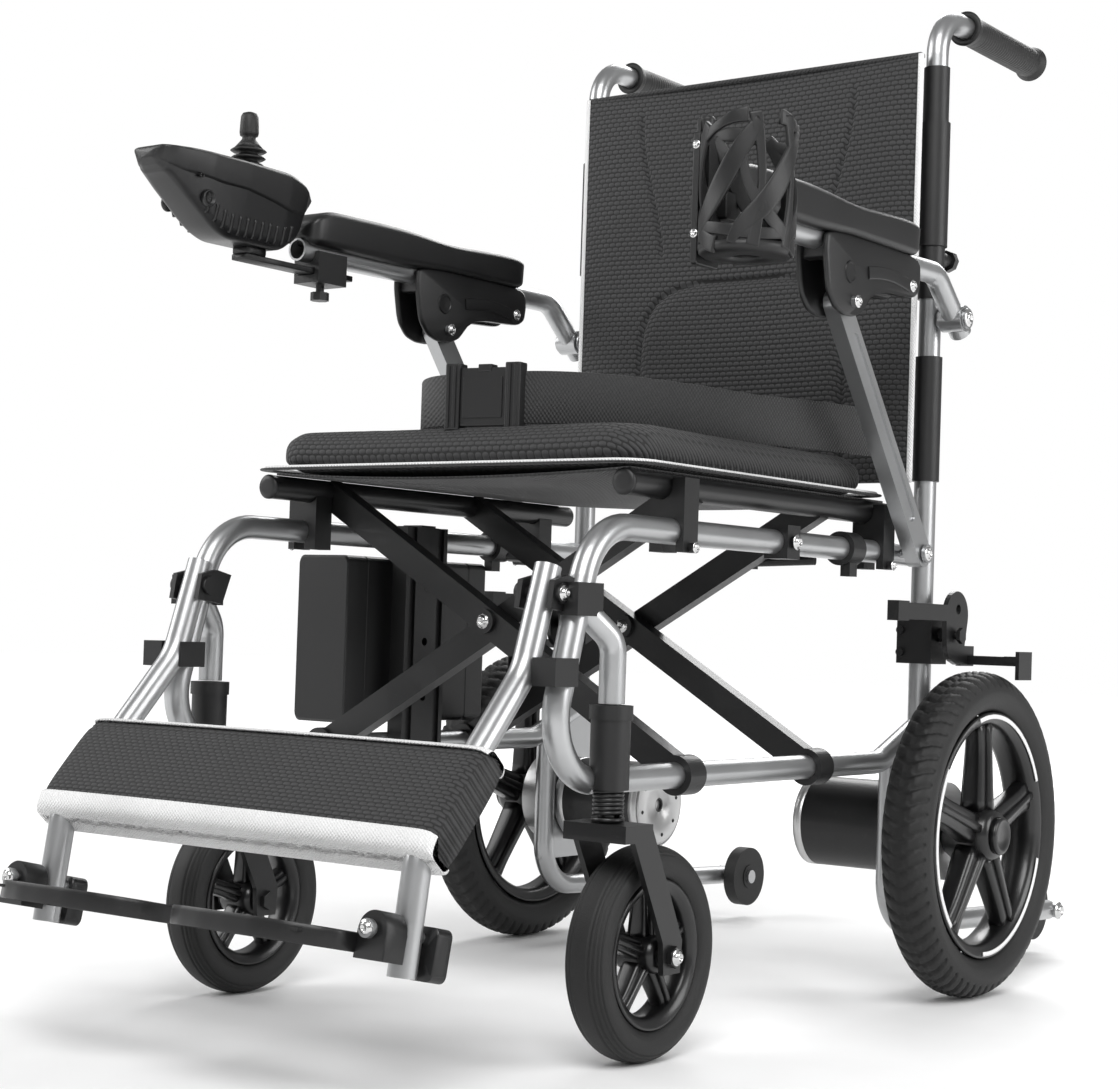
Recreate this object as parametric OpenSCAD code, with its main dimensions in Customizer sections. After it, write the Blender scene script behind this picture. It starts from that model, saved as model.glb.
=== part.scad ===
// Power wheelchair with a folding cross frame. Millimetres, +Z up, front of the chair towards -Y,
// the user's left towards +X. Origin on the floor, midway along the length and the width.

/* [Frame] */
// half of the distance between the two side frames, tube centre to centre plane
frame_half = 209; // [190:1:230]
// outside diameter of the frame tubes
tube_d = 22; // [20:0.5:25]
// wall thickness of the frame tubes
tube_wall = 2; // [1.5:0.1:3]
// height of the upper rail
upper_z = 430; // [400:1:460]
// height of the lower rail
lower_z = 227; // [222:1:235]
// distance from the middle of the chair back to the upright back canes
cane_y = 258; // [250:1:266]
// height of the middle of the push handles
handle_z = 977; // [940:1:1010]
// rearward reach of the push handles behind the canes
handle_reach = 227; // [200:1:240]
// height of the seat rails
seat_rail_z = 468; // [460:1:474]
// inward set of the seat rails from the side frames
seat_rail_in = 10; // [6:1:14]

/* [Wheels] */
// diameter of the rear tyres
rear_d = 318; // [300:1:326]
// width of the rear tyres
rear_w = 48; // [40:1:54]
// distance from the side frame to the middle of the rear tyre
rear_out = 64; // [60:1:70]
// diameter of the front caster tyres
caster_d = 175; // [160:1:178]
// width of the caster tyres
caster_w = 38; // [32:1:42]
// distance from the swivel axis back to the caster axle
caster_trail = 53; // [40:1:56]
// diameter of the anti-tip wheels
tip_d = 70; // [60:1:76]
// radius of the wheel axles
axle_r = 6; // [5:0.1:7]
// gap between a shaft and its hole, per side
run_gap = 0.08; // [0.03:0.01:0.1]
// gap between neighbouring parts that move apart
part_gap = 0.5; // [0.4:0.1:1]

/* [Seat] */
// width of the seat cushion
seat_w = 430; // [400:1:440]
// depth of the seat cushion
seat_d = 427; // [400:1:440]
// thickness of the seat cushion
seat_t = 32; // [20:1:45]
// width of the back upholstery
back_w = 410; // [390:1:416]
// height of the top edge of the back upholstery
back_top = 934; // [900:1:940]
// height of the lower edge of the back upholstery
back_low = 500; // [490:1:540]

/* [Armrests] */
// distance from the side frame out to the armrest
arm_out = 27; // [25:1:32]
// length of the armrest pads
pad_len = 335; // [280:1:340]
// width of the armrest pads
pad_w = 46; // [40:1:52]
// thickness of the armrest pads
pad_t = 25; // [20:1:32]

/* [Footrests] */
// inward set of the footrest hangers from the side frames
hanger_in = 17; // [14:1:20]
// reach of the footplates ahead of the hanger tubes
plate_d = 92; // [84:1:100]
// length of the footplates across the chair
plate_len = 178; // [150:1:180]
// thickness of the footplates
plate_t = 14; // [10:1:18]
// upward lean of the footplates towards the toes in degrees
plate_pitch = 12; // [6:1:14]

/* [Power] */
// diameter of the drive motors
motor_d = 90; // [80:1:94]
// length of the drive motors
motor_len = 108; // [90:1:110]
// length of the battery box
bat_len = 215; // [180:1:215]
// height of the battery box
bat_h = 164; // [140:1:166]
// width of the battery box
bat_w = 64; // [50:1:70]

/* [Hidden] */
tube_r = tube_d / 2;
lap = 1;
step = 0.06;
cane_top = 925;
rear_x = frame_half + rear_out;
rear_y = 254;
axle_z = rear_d / 2;
rim_r = rear_d / 2 - 42;
steer_x = frame_half + 14;
steer_y = -299;
c_axle_z = caster_d / 2;
crown_z = caster_d + 6;
tip_y = 585;
tip_z = tip_d / 2 + 15;
seat_rail_x = frame_half - seat_rail_in;
arm_rise = seat_rail_z - lower_z;
arm_run = frame_half + seat_rail_x;
arm_tilt = atan(arm_rise / arm_run);
arm_len = sqrt(arm_rise * arm_rise + arm_run * arm_run);
pivot_z = lower_z + arm_rise * frame_half / arm_run;
bar_h = 25;
bar_t = 16;
xa_y = [-172, 46];
xb_y = [-172 + bar_t + 1, 46 + bar_t + 1];
down_foot = [-371, lower_z];
down_top = [-312, upper_z];
down_dir = (down_foot - down_top) / norm(down_foot - down_top);
arm_x = frame_half + arm_out;
arm_pin = [cane_y, 667];
strut_low = [192, upper_z];
strut_top = [19, 650];
pad_z = 717;
arm_a = [arm_x, -192, 701];
arm_b = [arm_x, 212, 706];
arm_dir = (arm_b - arm_a) / norm(arm_b - arm_a);
hang_x = frame_half - hanger_in;
leg_a = [-347, 395];
leg_b = [-374, 312];
leg_c = [-492, 182];
leg_d = [-507, 92];
leg_top_dir = (leg_b - leg_a) / norm(leg_b - leg_a);
leg_pivot = [-354, 374];
leg_dir = (leg_c - leg_b) / norm(leg_c - leg_b);
calf_c = leg_b + leg_dir * 134;
plate_z = 122;
hinge_y = -502;
hinge_x = hang_x;
ctl_x = -(frame_half + arm_out);
bat_x = -(frame_half + 5);
bat_z = lower_z + 20;
cage_c = [frame_half + arm_out + 48, -217];
cage_z = 650;

function unit(v) = v / norm(v);
function mid(a, b, k) = a + (b - a) * k;

// plain rod between two points
module rod(a, b, r, fn = 32) {
    d = b - a;
    n = norm(d);
    translate(a)
        rotate([0, acos(d[2] / n), atan2(d[1], d[0])])
            cylinder(h = n, r = r, $fn = fn);
}

// bend of a tube: p is the corner, d1 the way in, d2 the way out
module bend(p, d1, d2, br, r, fn = 32) {
    turn = acos(d1 * d2);
    n = unit(cross(d1, d2));
    m = cross(n, d1);
    c = p - d1 * br * tan(turn / 2) + m * br;
    x = -m;
    multmatrix([[x[0], d1[0], n[0], c[0]], [x[1], d1[1], n[1], c[1]],
                [x[2], d1[2], n[2], c[2]], [0, 0, 0, 1]])
        rotate_extrude(angle = turn, $fn = 64)
            translate([br, 0])
                circle(r = r, $fn = fn);
}

// tube along a list of corner points, with the bend radius at each inner corner
module pipe(p, br, r, fn = 32) {
    last = len(p) - 1;
    for (i = [0:last - 1]) {
        d = unit(p[i + 1] - p[i]);
        cut0 = i == 0 ? 0 : br[i - 1] * tan(acos(unit(p[i] - p[i - 1]) * d) / 2);
        cut1 = i == last - 1 ? 0 : br[i] * tan(acos(unit(p[i + 2] - p[i + 1]) * d) / 2);
        // the straight rods run a little way into the bends
        rod(p[i] + d * (i == 0 ? 0 : cut0 - lap), p[i + 1] - d * (i == last - 1 ? 0 : cut1 - lap),
            r - step, fn);
        if (i < last - 1)
            bend(p[i + 1], d, unit(p[i + 2] - p[i + 1]), br[i], r, fn);
    }
}

// cylinder along X with its middle at p
module xcyl(p, r, h, fn = 32) {
    translate(p) rotate([0, 90, 0]) cylinder(h = h, r = r, center = true, $fn = fn);
}

// cylinder along Y with its middle at p
module ycyl(p, r, h, fn = 32) {
    translate(p) rotate([90, 0, 0]) cylinder(h = h, r = r, center = true, $fn = fn);
}

module box(p, s) {
    translate(p) cube(s, center = true);
}

// outline drawn in the YZ plane, x from x0 to x0 + t
module plate(x0, t, pts) {
    translate([x0, 0, 0]) rotate([90, 0, 90]) linear_extrude(t) polygon(pts);
}

module flip(s) {
    if (s > 0) children();
    else mirror([1, 0, 0]) children();
}

function yz(x, q) = [x, q[0], q[1]];
f = frame_half;
rail_path = [[f, cane_y - 1, upper_z], yz(f, down_top), yz(f, down_foot),
             [f, 175, lower_z], [f, cane_y - 1, lower_z + 34]];
cane_path = [[f, cane_y, lower_z + 24], [f, cane_y, handle_z], [f, cane_y + handle_reach - 1, handle_z]];
branch_path = [yz(f, down_top + down_dir * 66), [steer_x, steer_y, 338], [steer_x, steer_y, 288]];
tip_path = [[f, 200, lower_z + 10], [f, 200, 66], [f, tip_y, tip_z]];

module frame_tubes(r) {
    pipe(rail_path, [60, 52, 40], r);
    pipe(cane_path, [42], r + 0.03);
    pipe(branch_path, [22], r - 0.3);
    pipe(tip_path, [50], r - 0.2);
}

module side_frame(s) {
    color("silver") flip(s) difference() {
        union() {
            frame_tubes(tube_r);
            // plate that carries the motor
            plate(f - 4, 8, [[192, 95], [300, 95], [310, 160], [272, 268], [245, 268], [192, 235]]);
            // pin that the armrest turns on, with its head
            xcyl([f + (arm_out + 13) / 2, cane_y, arm_pin[1]], axle_r, arm_out + 13);
            xcyl([arm_x + 14, cane_y, arm_pin[1]], axle_r + 4, 3);
            // pin that the strut turns on, with its head
            xcyl([f + (arm_out + 10) / 2, strut_low[0], strut_low[1]], 5, arm_out + 10);
            xcyl([arm_x + 10.5, strut_low[0], strut_low[1]], 9, 3);
            // anti-tip wheel bolt
            xcyl([f - 14, tip_y, tip_z], 5, 36);
            xcyl([f - 32, tip_y, tip_z], 8, 3);
            xcyl([f + 8, tip_y, tip_z], 8, 10);
        }
        frame_tubes_core();
        // the steerer sleeve is let into the tubes
        translate([steer_x, steer_y, crown_z + 15]) cylinder(h = 72.52 + 20, r = 16.02, $fn = 48);
        translate([steer_x, steer_y, 275.98]) cylinder(h = 11.54, r = 17.52, $fn = 48);
        xcyl([f, rear_y, axle_z], 33, 40, 48);
    }
}

// the rear ends of the push handles are open
module frame_tubes_core() {
    r = tube_r - tube_wall;
    rod([f, cane_y + 90, handle_z], [f, cane_y + handle_reach + 5, handle_z], r);
}

module hook(y, s = 1) {
    // block on the upper rail with an open cradle for the seat rail
    difference() {
        box([f - 3, y, upper_z + 14], [34, 22, 62]);
        ycyl([f, y, upper_z], tube_r + 0.02, 30);
        box([f, y, upper_z - 20], [13, 30, 30]);
        ycyl([seat_rail_x, y, seat_rail_z], tube_r + part_gap, 30);
        translate([seat_rail_x - tube_r - part_gap, y - 15, seat_rail_z])
            cube([2 * tube_r + 2 * part_gap, 30, 30]);
    }
    xcyl([f + 14, y, upper_z - 13], 4, 12, 16);
}

module saddle(y, z) {
    difference() {
        box([f, y, z], [2 * tube_r + 8, 22, 2 * tube_r + 8]);
        ycyl([f, y, z], tube_r + 0.02, 30);
        box([f - tube_r - 2, y, z], [8, 30, 40]);
    }
    xcyl([f + tube_r + 5, y, z], 5, 4, 16);
}

module rail_brackets(s) {
    color("dimgray") flip(s) {
        hook(-192);
        hook(158);
        saddle(-24, upper_z);
        // collar on the upper rail with its ear for the stay
        difference() {
            union() {
                ycyl([f, 98, upper_z], tube_r + 5, 24);
                box([f + 4, 98, upper_z - 18], [10, 14, 16]);
            }
            ycyl([f, 98, upper_z], tube_r + 0.02, 40);
        }
        // brake clamp on the cane
        difference() {
            union() {
                box([f + 1, cane_y, 345], [38, 34, 44]);
                xcyl([f + 24, cane_y + 4, 352], 7, 14);
            }
            translate([f, cane_y, 300]) cylinder(h = 90, r = tube_r + 0.02, $fn = 32);
        }
        xcyl([f + 30, cane_y + 4, 352], 4, 26);
        xcyl([f + 42, cane_y + 4, 352], 8, 4, 6);
        ycyl([f - 13, cane_y - 18, 356], 4, 6, 16);
        ycyl([f - 13, cane_y - 18, 334], 4, 6, 16);
    }
    if (s < 0) color("dimgray") battery_rail();
}

module battery_rail() {
    // upright rail clipped to both tubes, on the inner side of the frame
    difference() {
        box([-f + 17, -45, (upper_z + lower_z) / 2], [18, 62, upper_z - lower_z + 24]);
        ycyl([-f, -45, upper_z], tube_r + 0.02, 90);
        ycyl([-f, -45, lower_z], tube_r + 0.02, 90);
        for (y = [-66, -24])
            box([-f + 26, y, (upper_z + lower_z) / 2], [6, 9, 300]);
        for (k = [-1, 0, 1])
            xcyl([-f + 17, -45, (upper_z + lower_z) / 2 + 55 * k], 4, 40, 24);
    }
}

module sleeve_ring(z0, z1, r) {
    difference() {
        translate([f, cane_y, z0]) cylinder(h = z1 - z0, r = r, $fn = 48);
        translate([f, cane_y, z0 - 1]) cylinder(h = z1 - z0 + 2, r = tube_r + 0.02, $fn = 32);
    }
}

module cane_sleeves(s) {
    color("black") flip(s) {
        sleeve_ring(866, 922, tube_r + 2);
        sleeve_ring(741, 866, tube_r + 4);
        sleeve_ring(688, 741, tube_r + 2);
        sleeve_ring(505, 630, tube_r + 2.5);
        // release knob behind the sleeve
        ycyl([f, cane_y + tube_r + 11, 732], 7, 18, 24);
        ycyl([f, cane_y + tube_r + 24, 732], 11, 8, 8);
    }
}

module push_grip(s) {
    color("black") flip(s) difference() {
        union() {
            ycyl([f, cane_y + 60 + 84, handle_z], tube_r + 4, 168, 48);
            ycyl([f, cane_y + 64, handle_z], tube_r + 6.5, 8, 48);
            ycyl([f, cane_y + handle_reach - 2, handle_z], tube_r + 8, 8, 48);
        }
        translate([f, cane_y + 40, handle_z]) rotate([-90, 0, 0]) cylinder(h = handle_reach - 40, r = tube_r + 0.02, $fn = 32);
    }
}

module steerer_sleeve(s) {
    color("black") flip(s) difference() {
        union() {
            translate([steer_x, steer_y, crown_z + 40]) cylinder(h = 287.5 - crown_z - 40, r = 16, $fn = 48);
            translate([steer_x, steer_y, 276]) cylinder(h = 11.5, r = 17.5, $fn = 48);
        }
        translate([steer_x, steer_y, crown_z]) cylinder(h = 95, r = 7 + run_gap, $fn = 48);
        translate([steer_x, steer_y, crown_z + 30]) cylinder(h = 26, r = 14.5, $fn = 48);
    }
}

module suspension_spring(s) {
    color("silver") flip(s) translate([steer_x, steer_y, 0]) {
        // seat of the spring and its coils round the stem
        difference() {
            translate([0, 0, crown_z + 14 + part_gap]) cylinder(h = 4, r = 13.5, $fn = 32);
            translate([0, 0, crown_z]) cylinder(h = 60, r = 7 + run_gap, $fn = 48);
        }
        for (k = [0:5])
            translate([0, 0, crown_z + 20 + part_gap + 4.4 * k])
                rotate_extrude($fn = 32) translate([10.6, 0]) circle(r = 2.3, $fn = 12);
    }
}

module caster_fork(s) {
    color("black") flip(s) translate([steer_x, steer_y, 0]) {
        w = caster_w / 2 + 6;
        difference() {
            union() {
                translate([-w - 5, -18, crown_z]) cube([2 * w + 10, 38, 14]);
                for (k = [-1, 1]) {
                    // flat leg running back to the axle
                    plate(k * (w + 2.5) - 2.5, 5, [[-10, crown_z + 10], [20, crown_z + 10],
                        [caster_trail + 14, c_axle_z + 12], [caster_trail + 12, c_axle_z - 14],
                        [caster_trail - 12, c_axle_z - 14], [caster_trail - 14, c_axle_z + 12]]);
                }
                translate([0, 0, crown_z + 5]) cylinder(h = 76, r = 7, $fn = 48);
            }
            box([0, caster_trail - 20, crown_z - 25], [caster_w + 12, 60, 50]);
        }
        xcyl([0, caster_trail, c_axle_z], axle_r, 2 * w + 8);
        for (k = [-1, 1])
            xcyl([k * (w + 7), caster_trail, c_axle_z], 9, 5, 6);
    }
}

// five straight spokes in the YZ plane between the radii a and b
module spokes(a, b, wid, t, n = 5) {
    for (k = [0:n - 1])
        rotate([k * 360 / n, 0, 0])
            translate([0, 0, (a + b) / 2])
                cube([t, wid, b - a], center = true);
}

module caster_rim(s) {
    color("dimgray") flip(s) translate([steer_x, steer_y + caster_trail, c_axle_z]) difference() {
        union() {
            rotate([0, 90, 0]) difference() {
                cylinder(h = caster_w - 10, r = caster_d / 2 - 30, center = true, $fn = 64);
                cylinder(h = caster_w, r = caster_d / 2 - 38, center = true, $fn = 64);
            }
            spokes(12, caster_d / 2 - 34, 13, 14);
            xcyl([0, 0, 0], 15, caster_w + 4, 48);
        }
        xcyl([0, 0, 0], axle_r + run_gap, caster_w + 20);
    }
}

// tyre profile turned round the wheel axis
module tyre(d, w, inner) {
    rotate([0, 90, 0]) rotate_extrude($fn = 96) {
        intersection() {
            translate([d / 2 - w / 2, 0]) circle(d = w, $fn = 40);
            translate([inner, -w]) square([d, 2 * w]);
        }
    }
}

module caster_tyre(s) {
    color("black") flip(s) translate([steer_x, steer_y + caster_trail, c_axle_z])
        tyre(caster_d, caster_w, caster_d / 2 - 30);
}

module rear_rim(s) {
    color("dimgray") flip(s) translate([rear_x, rear_y, axle_z]) {
        difference() {
            union() {
                rotate([0, 90, 0]) difference() {
                    cylinder(h = 38, r = rim_r, center = true, $fn = 96);
                    cylinder(h = 60, r = rim_r - 9, center = true, $fn = 96);
                }
                spokes(20, rim_r - 6, 24, 20);
                xcyl([2, 0, 0], 26, 48, 48);
            }
            translate([-30, 0, 0]) xcyl([0, 0, 0], 10 + run_gap, 80);
        }
        // hub cap
        xcyl([29.5, 0, 0], 19, 7, 48);
    }
}

module rear_tyre(s) {
    color("black") flip(s) translate([rear_x, rear_y, axle_z])
        tyre(rear_d, rear_w, rim_r);
}

module motor(s) {
    color("black") flip(s) difference() {
        union() {
            xcyl([f - 5 - motor_len / 2, rear_y, axle_z], motor_d / 2, motor_len - 12, 64);
            for (k = [-1, 1])
                xcyl([f - 5 - motor_len / 2 + k * (motor_len / 2 - 4), rear_y, axle_z],
                    motor_d / 2 - 1.5, 8, 64);
            xcyl([f - 1, rear_y, axle_z], 31, 12, 48);
        }
        xcyl([f - 5 - motor_len, rear_y, axle_z], 6, 12, 24);
        xcyl([f + 3, rear_y, axle_z], 10.5, 12, 32);
    }
}

module gearbox(s) {
    color("silver") flip(s) {
        xcyl([f + 6 + (rear_out - rear_w / 2 - 9) / 2 + 0.5, rear_y, axle_z], 48, rear_out - rear_w / 2 - 12, 64);
        // output shaft, short of the closed end of the hub
        xcyl([rear_x - 24, rear_y, axle_z], 10, 64, 32);
        // feet that stand on the motor plate
        for (k = [0:5])
            translate([0, rear_y, axle_z]) rotate([60 * k, 0, 0])
                xcyl([f + 6.27, 0, 40], 3, 4.5, 12);
    }
}

module anti_tip_wheel(s) {
    color("black") flip(s) difference() {
        union() {
            xcyl([f - 22, tip_y, tip_z], tip_d / 2, 15, 64);
            xcyl([f - 22, tip_y, tip_z], 14, 17, 32);
        }
        xcyl([f - 22, tip_y, tip_z], 5 + run_gap, 30, 32);
    }
}

module brake_lever(s) {
    color("black") flip(s) difference() {
        union() {
            hull() {
                xcyl([f + 34, cane_y + 6, 372], 24, 5);
                xcyl([f + 34, cane_y + 4, 345], 20, 5);
                xcyl([f + 34, cane_y + 10, 335], 12, 5);
            }
            // lever bar with its grip end
            box([f + 34, cane_y - 62, 374], [9, 90, 16]);
            box([f + 34, cane_y - 115, 374], [12, 22, 19]);
            // shoe that presses on the tyre, and its end plate
            box([f + 62, cane_y + 42, 328], [58, 22, 9]);
            box([f + 34, cane_y + 30, 332], [5, 30, 20]);
            box([rear_x + rear_w / 2 + 4, cane_y + 42, 324], [4, 30, 28]);
            box([rear_x + rear_w / 2 - 3, cane_y + 42, 330], [16, 26, 6]);
        }
        xcyl([f + 34, cane_y + 4, 352], 4 + run_gap, 30);
        xcyl([f + 34, cane_y + 8, 378], 5, 30);
    }
}

module armrest_tube(s) {
    color("silver") flip(s) difference() {
        union() {
            pipe([arm_a, arm_b, [arm_x, arm_pin[0] + 14, arm_pin[1] - 12]], [32], tube_r);
            xcyl([arm_x, arm_pin[0], arm_pin[1]], 13, 24);
        }
        xcyl([arm_x, arm_pin[0], arm_pin[1]], axle_r + run_gap, 60);
        rod(arm_a - arm_dir * 8, arm_a + arm_dir * 70, tube_r - tube_wall);
    }
}

module armrest_pad(s) {
    color("black") flip(s) difference() {
        translate([arm_x, -190 + pad_len / 2, pad_z + pad_t / 2 - 3])
            cube([pad_w, pad_len, pad_t + 6], center = true);
        rod(arm_a - arm_dir * 20, arm_b + arm_dir * 20, tube_r + 0.02);
        // thinner towards the rear
        translate([arm_x - 60, -30, pad_z - 12]) cube([120, 300, 9]);
    }
}

module armrest_bracket(s) {
    color("black") flip(s) difference() {
        union() {
            // two cheeks that clasp the tube
            for (k = [-1, 1])
                plate(arm_x + k * 14 - 3.5, 7, [[-30, 712], [-33, 690], [-24, 650], [0, 636], [34, 638],
                    [52, 656], [78, 666], [140, 669], [152, 680], [152, 704], [140, 712]]);
            box([arm_x, 116, 688], [24, 56, 26]);
            box([arm_x, -18, 697], [24, 14, 26]);
        }
        rod(arm_a - arm_dir * 20, arm_b + arm_dir * 20, tube_r + 0.02);
        // round recess on the outer cheek
        xcyl([arm_x + 18, 12, 676], 9, 4);
        // open notch for the strut pin
        plate(arm_x - 20, 40, [[strut_top[0] - 7, 658], [strut_top[0] + 9, 658], [strut_top[0] + 49, 618],
            [strut_top[0] - 11, 618]]);
        xcyl([arm_x, strut_top[0], strut_top[1] + 3], 9, 60);
    }
}

module armrest_strut(s) {
    color("silver") flip(s) difference() {
        union() {
            hull() {
                xcyl([arm_x, strut_low[0], strut_low[1]], 13, 15);
                xcyl([arm_x, strut_top[0], strut_top[1]], 12, 15);
            }
            xcyl([arm_x, strut_top[0], strut_top[1]], 5, 44, 24);
        }
        xcyl([arm_x, strut_low[0], strut_low[1]], 5 + run_gap, 40);
        hull() {
            xcyl([arm_x + 7, mid(strut_low[0], strut_top[0], 0.16), mid(strut_low[1], strut_top[1], 0.16)], 6, 4);
            xcyl([arm_x + 7, mid(strut_low[0], strut_top[0], 0.86), mid(strut_low[1], strut_top[1], 0.86)], 6, 4);
        }
    }
}

module hanger_clamp(s) {
    color("black") flip(s) {
        // cheeks fixed to the front tube with the pivot bolt of the hanger between them
        difference() {
            union() {
                for (k = [0, 1])
                    plate(hang_x - 18 + k * 31, 5, [[-326, 384], [-344, 388], [-362, 384],
                        [-366, 362], [-336, 358]]);
                box([f - 0.5, -333, 370], [31, 34, 26]);
            }
            pipe([yz(f, [-240, upper_z]), yz(f, down_top), yz(f, down_foot)], [60], tube_r + 0.08);
            rod(yz(hang_x, leg_a - leg_top_dir * 24), yz(hang_x, leg_b), tube_r + 1);
            // room for the upper end of the hanger as it swings up
            translate([hang_x - tube_r, -352, 355]) cube([2 * tube_r + 1, 32, 30]);
            // the branch to the steerer leaves the front tube here
            rod(branch_path[0] - unit(branch_path[1] - branch_path[0]) * 4, branch_path[1], tube_r + 0.04);
        }
        xcyl([hang_x, leg_pivot[0], leg_pivot[1]], 5, 42, 24);
        xcyl([hang_x - 20, leg_pivot[0], leg_pivot[1]], 8, 4, 24);
        xcyl([hang_x + 19.5, leg_pivot[0], leg_pivot[1]], 8, 4, 24);
        // snap clip lower down, open to the front
        difference() {
            box([f - 6, -364, 313], [46, 30, 22]);
            rod(yz(f, down_top), yz(f, down_foot), tube_r + 0.02);
            rod(yz(hang_x, leg_a), yz(hang_x, leg_b + leg_top_dir * 20), tube_r + part_gap);
            translate([hang_x - tube_r - part_gap, -420, 290]) cube([2 * tube_r + 2 * part_gap, 52, 60]);
        }
    }
}

module hanger_tube(s) {
    color("silver") flip(s) difference() {
        union() {
            pipe([yz(hang_x, leg_a), yz(hang_x, leg_b), yz(hang_x, leg_c), yz(hang_x, leg_d)],
                [60, 40], tube_r);
            // swivel bolt the footplate turns on
            pitched() {
                ycyl([hinge_x, hinge_y - 7, plate_z], 5, 80, 24);
                ycyl([hinge_x, hinge_y - 45, plate_z], 7, 4, 24);
            }
        }
        xcyl([hang_x, leg_pivot[0], leg_pivot[1]], 5 + run_gap, 60, 24);
    }
}

// leans what is drawn level so that the toes end of the plate is the higher one
module pitched() {
    translate([0, hinge_y, plate_z]) rotate([-plate_pitch, 0, 0]) translate([0, -hinge_y, -plate_z])
        children();
}

module footplate(s) {
    color("black") flip(s) pitched() difference() {
        union() {
            translate([0, 0, plate_z - 4 - plate_t]) linear_extrude(plate_t)
                polygon([[hinge_x - 12, hinge_y - 14], [hinge_x - 12, hinge_y - plate_d + 34],
                    [hinge_x - 40, hinge_y - plate_d + 10], [hinge_x - 90, hinge_y - plate_d],
                    [hinge_x - 140, hinge_y - plate_d + 4], [hinge_x - plate_len, hinge_y - plate_d + 26],
                    [hinge_x - plate_len, hinge_y - 26], [hinge_x - 34, hinge_y - 24],
                    [hinge_x - 24, hinge_y - 14]]);
            // hinge block ahead of the tube, with its eye
            box([hinge_x, hinge_y - 27, plate_z - 9], [28, 26, 26]);
            ycyl([hinge_x, hinge_y - 27, plate_z], 14, 26, 32);
            // block behind the tube, on the same bolt
            box([hinge_x + 4, hinge_y + 23, plate_z - 11], [26, 18, 40]);
        }
        ycyl([hinge_x, hinge_y - 10, plate_z], 5 + run_gap, 130, 24);
        // hollow underside
        translate([0, 0, plate_z - 8 - plate_t]) linear_extrude(plate_t)
            polygon([[hinge_x - 18, hinge_y - 44], [hinge_x - 42, hinge_y - plate_d + 15],
                [hinge_x - 90, hinge_y - plate_d + 5], [hinge_x - 138, hinge_y - plate_d + 9],
                [hinge_x - plate_len + 5, hinge_y - plate_d + 30], [hinge_x - plate_len + 5, hinge_y - 31],
                [hinge_x - 38, hinge_y - 29]]);
    }
}

// flat bar of the cross frame from the lower rail at +X to the seat rail at -X, middle at y
module cross_bar(y) {
    difference() {
        union() {
            translate([f, y, lower_z]) rotate([0, 180 + arm_tilt, 0])
                translate([0, -bar_t / 2, -bar_h / 2]) cube([arm_len, bar_t, bar_h]);
            ycyl([f, y, lower_z], tube_r + 6, bar_t + 8);
        }
        ycyl([f, y, lower_z], tube_r + run_gap, bar_t + 30);
    }
}

module stay(y) {
    // diagonal stay from the bar towards the collar on the rail, with its foot on the bar
    box([-115, y + bar_t / 2 + 4, 416], [18, 12, 14]);
    rod([-117, y + bar_t / 2 + 5, 416], [-f + 27, 88, upper_z - 11], 5, 16);
}

module cross_arm_a() {
    color("dimgray") difference() {
        union() {
            for (y = xa_y) cross_bar(y);
            rod([-seat_rail_x, -255, seat_rail_z], [-seat_rail_x, 207, seat_rail_z], tube_r);
            ycyl([0, xa_y[0] + 14, pivot_z], 6, bar_t + 34, 24);
            ycyl([0, xa_y[1] + 14, pivot_z], 6, bar_t + 34, 24);
            for (y = xa_y) ycyl([0, y - bar_t / 2 - 2, pivot_z], 11, 4, 24);
            stay(xa_y[1]);
        }
        rod([-seat_rail_x, -262, seat_rail_z], [-seat_rail_x, -225, seat_rail_z], tube_r - tube_wall);
    }
}

module cross_arm_b() {
    color("dimgray") difference() {
        union() {
            for (y = xb_y) mirror([1, 0, 0]) cross_bar(y);
            rod([seat_rail_x, -255, seat_rail_z], [seat_rail_x, 207, seat_rail_z], tube_r);
            mirror([1, 0, 0]) stay(xb_y[1]);
        }
        for (y = xb_y) ycyl([0, y, pivot_z], 6 + run_gap, bar_t + 30, 24);
        rod([seat_rail_x, -262, seat_rail_z], [seat_rail_x, -225, seat_rail_z], tube_r - tube_wall);
    }
}

module seat_sling() {
    color("black") translate([-seat_rail_x, -248, seat_rail_z + tube_r + part_gap])
        cube([2 * seat_rail_x, 440, 2]);
}

module seat_cushion() {
    color("black") translate([-seat_w / 2, -262, seat_rail_z + tube_r + 3 + part_gap])
        cube([seat_w, seat_d, seat_t]);
}

module back_panel() {
    color("black") translate([-back_w / 2, cane_y - 28, back_low]) cube([back_w, 11, back_top - back_low]);
}

belt_z = seat_rail_z + tube_r + 4 + seat_t + 2 * part_gap;
function belt_at(t, k) = [25 + (t > 0 ? 174 - k : 224 - k) * sin(t), -236 + k + (442 - k) * (1 - cos(t))];

module seat_belt() {
    color("black") translate([0, 0, belt_z]) linear_extrude(48)
        polygon(concat([for (t = [-88:6:-10]) belt_at(t, 0)], [for (t = [-10:-6:-88]) belt_at(t, 3)]));
    color("black") translate([0, 0, belt_z]) linear_extrude(48)
        polygon(concat([for (t = [16:6:88]) belt_at(t, 0)], [for (t = [88:-6:16]) belt_at(t, 3)]));
}

module belt_buckle() {
    color("black") translate([31, -229, belt_z]) rotate([0, 0, 8]) {
        translate([-38, -9, 0]) cube([30, 15, 58]);
        translate([-7.5, -7, 2]) cube([15, 11, 50]);
        translate([8, -9, 0]) cube([30, 15, 58]);
    }
}

module calf_pad() {
    a = atan2(leg_dir[0], leg_dir[1]);
    color("black") translate([0, calf_c[0], calf_c[1]]) rotate([180 - a, 0, 0]) difference() {
        cube([2 * frame_half + 8, 42, 96], center = true);
        cube([2 * frame_half + 20, 2 * tube_r + 14, 110], center = true);
    }
}

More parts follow.
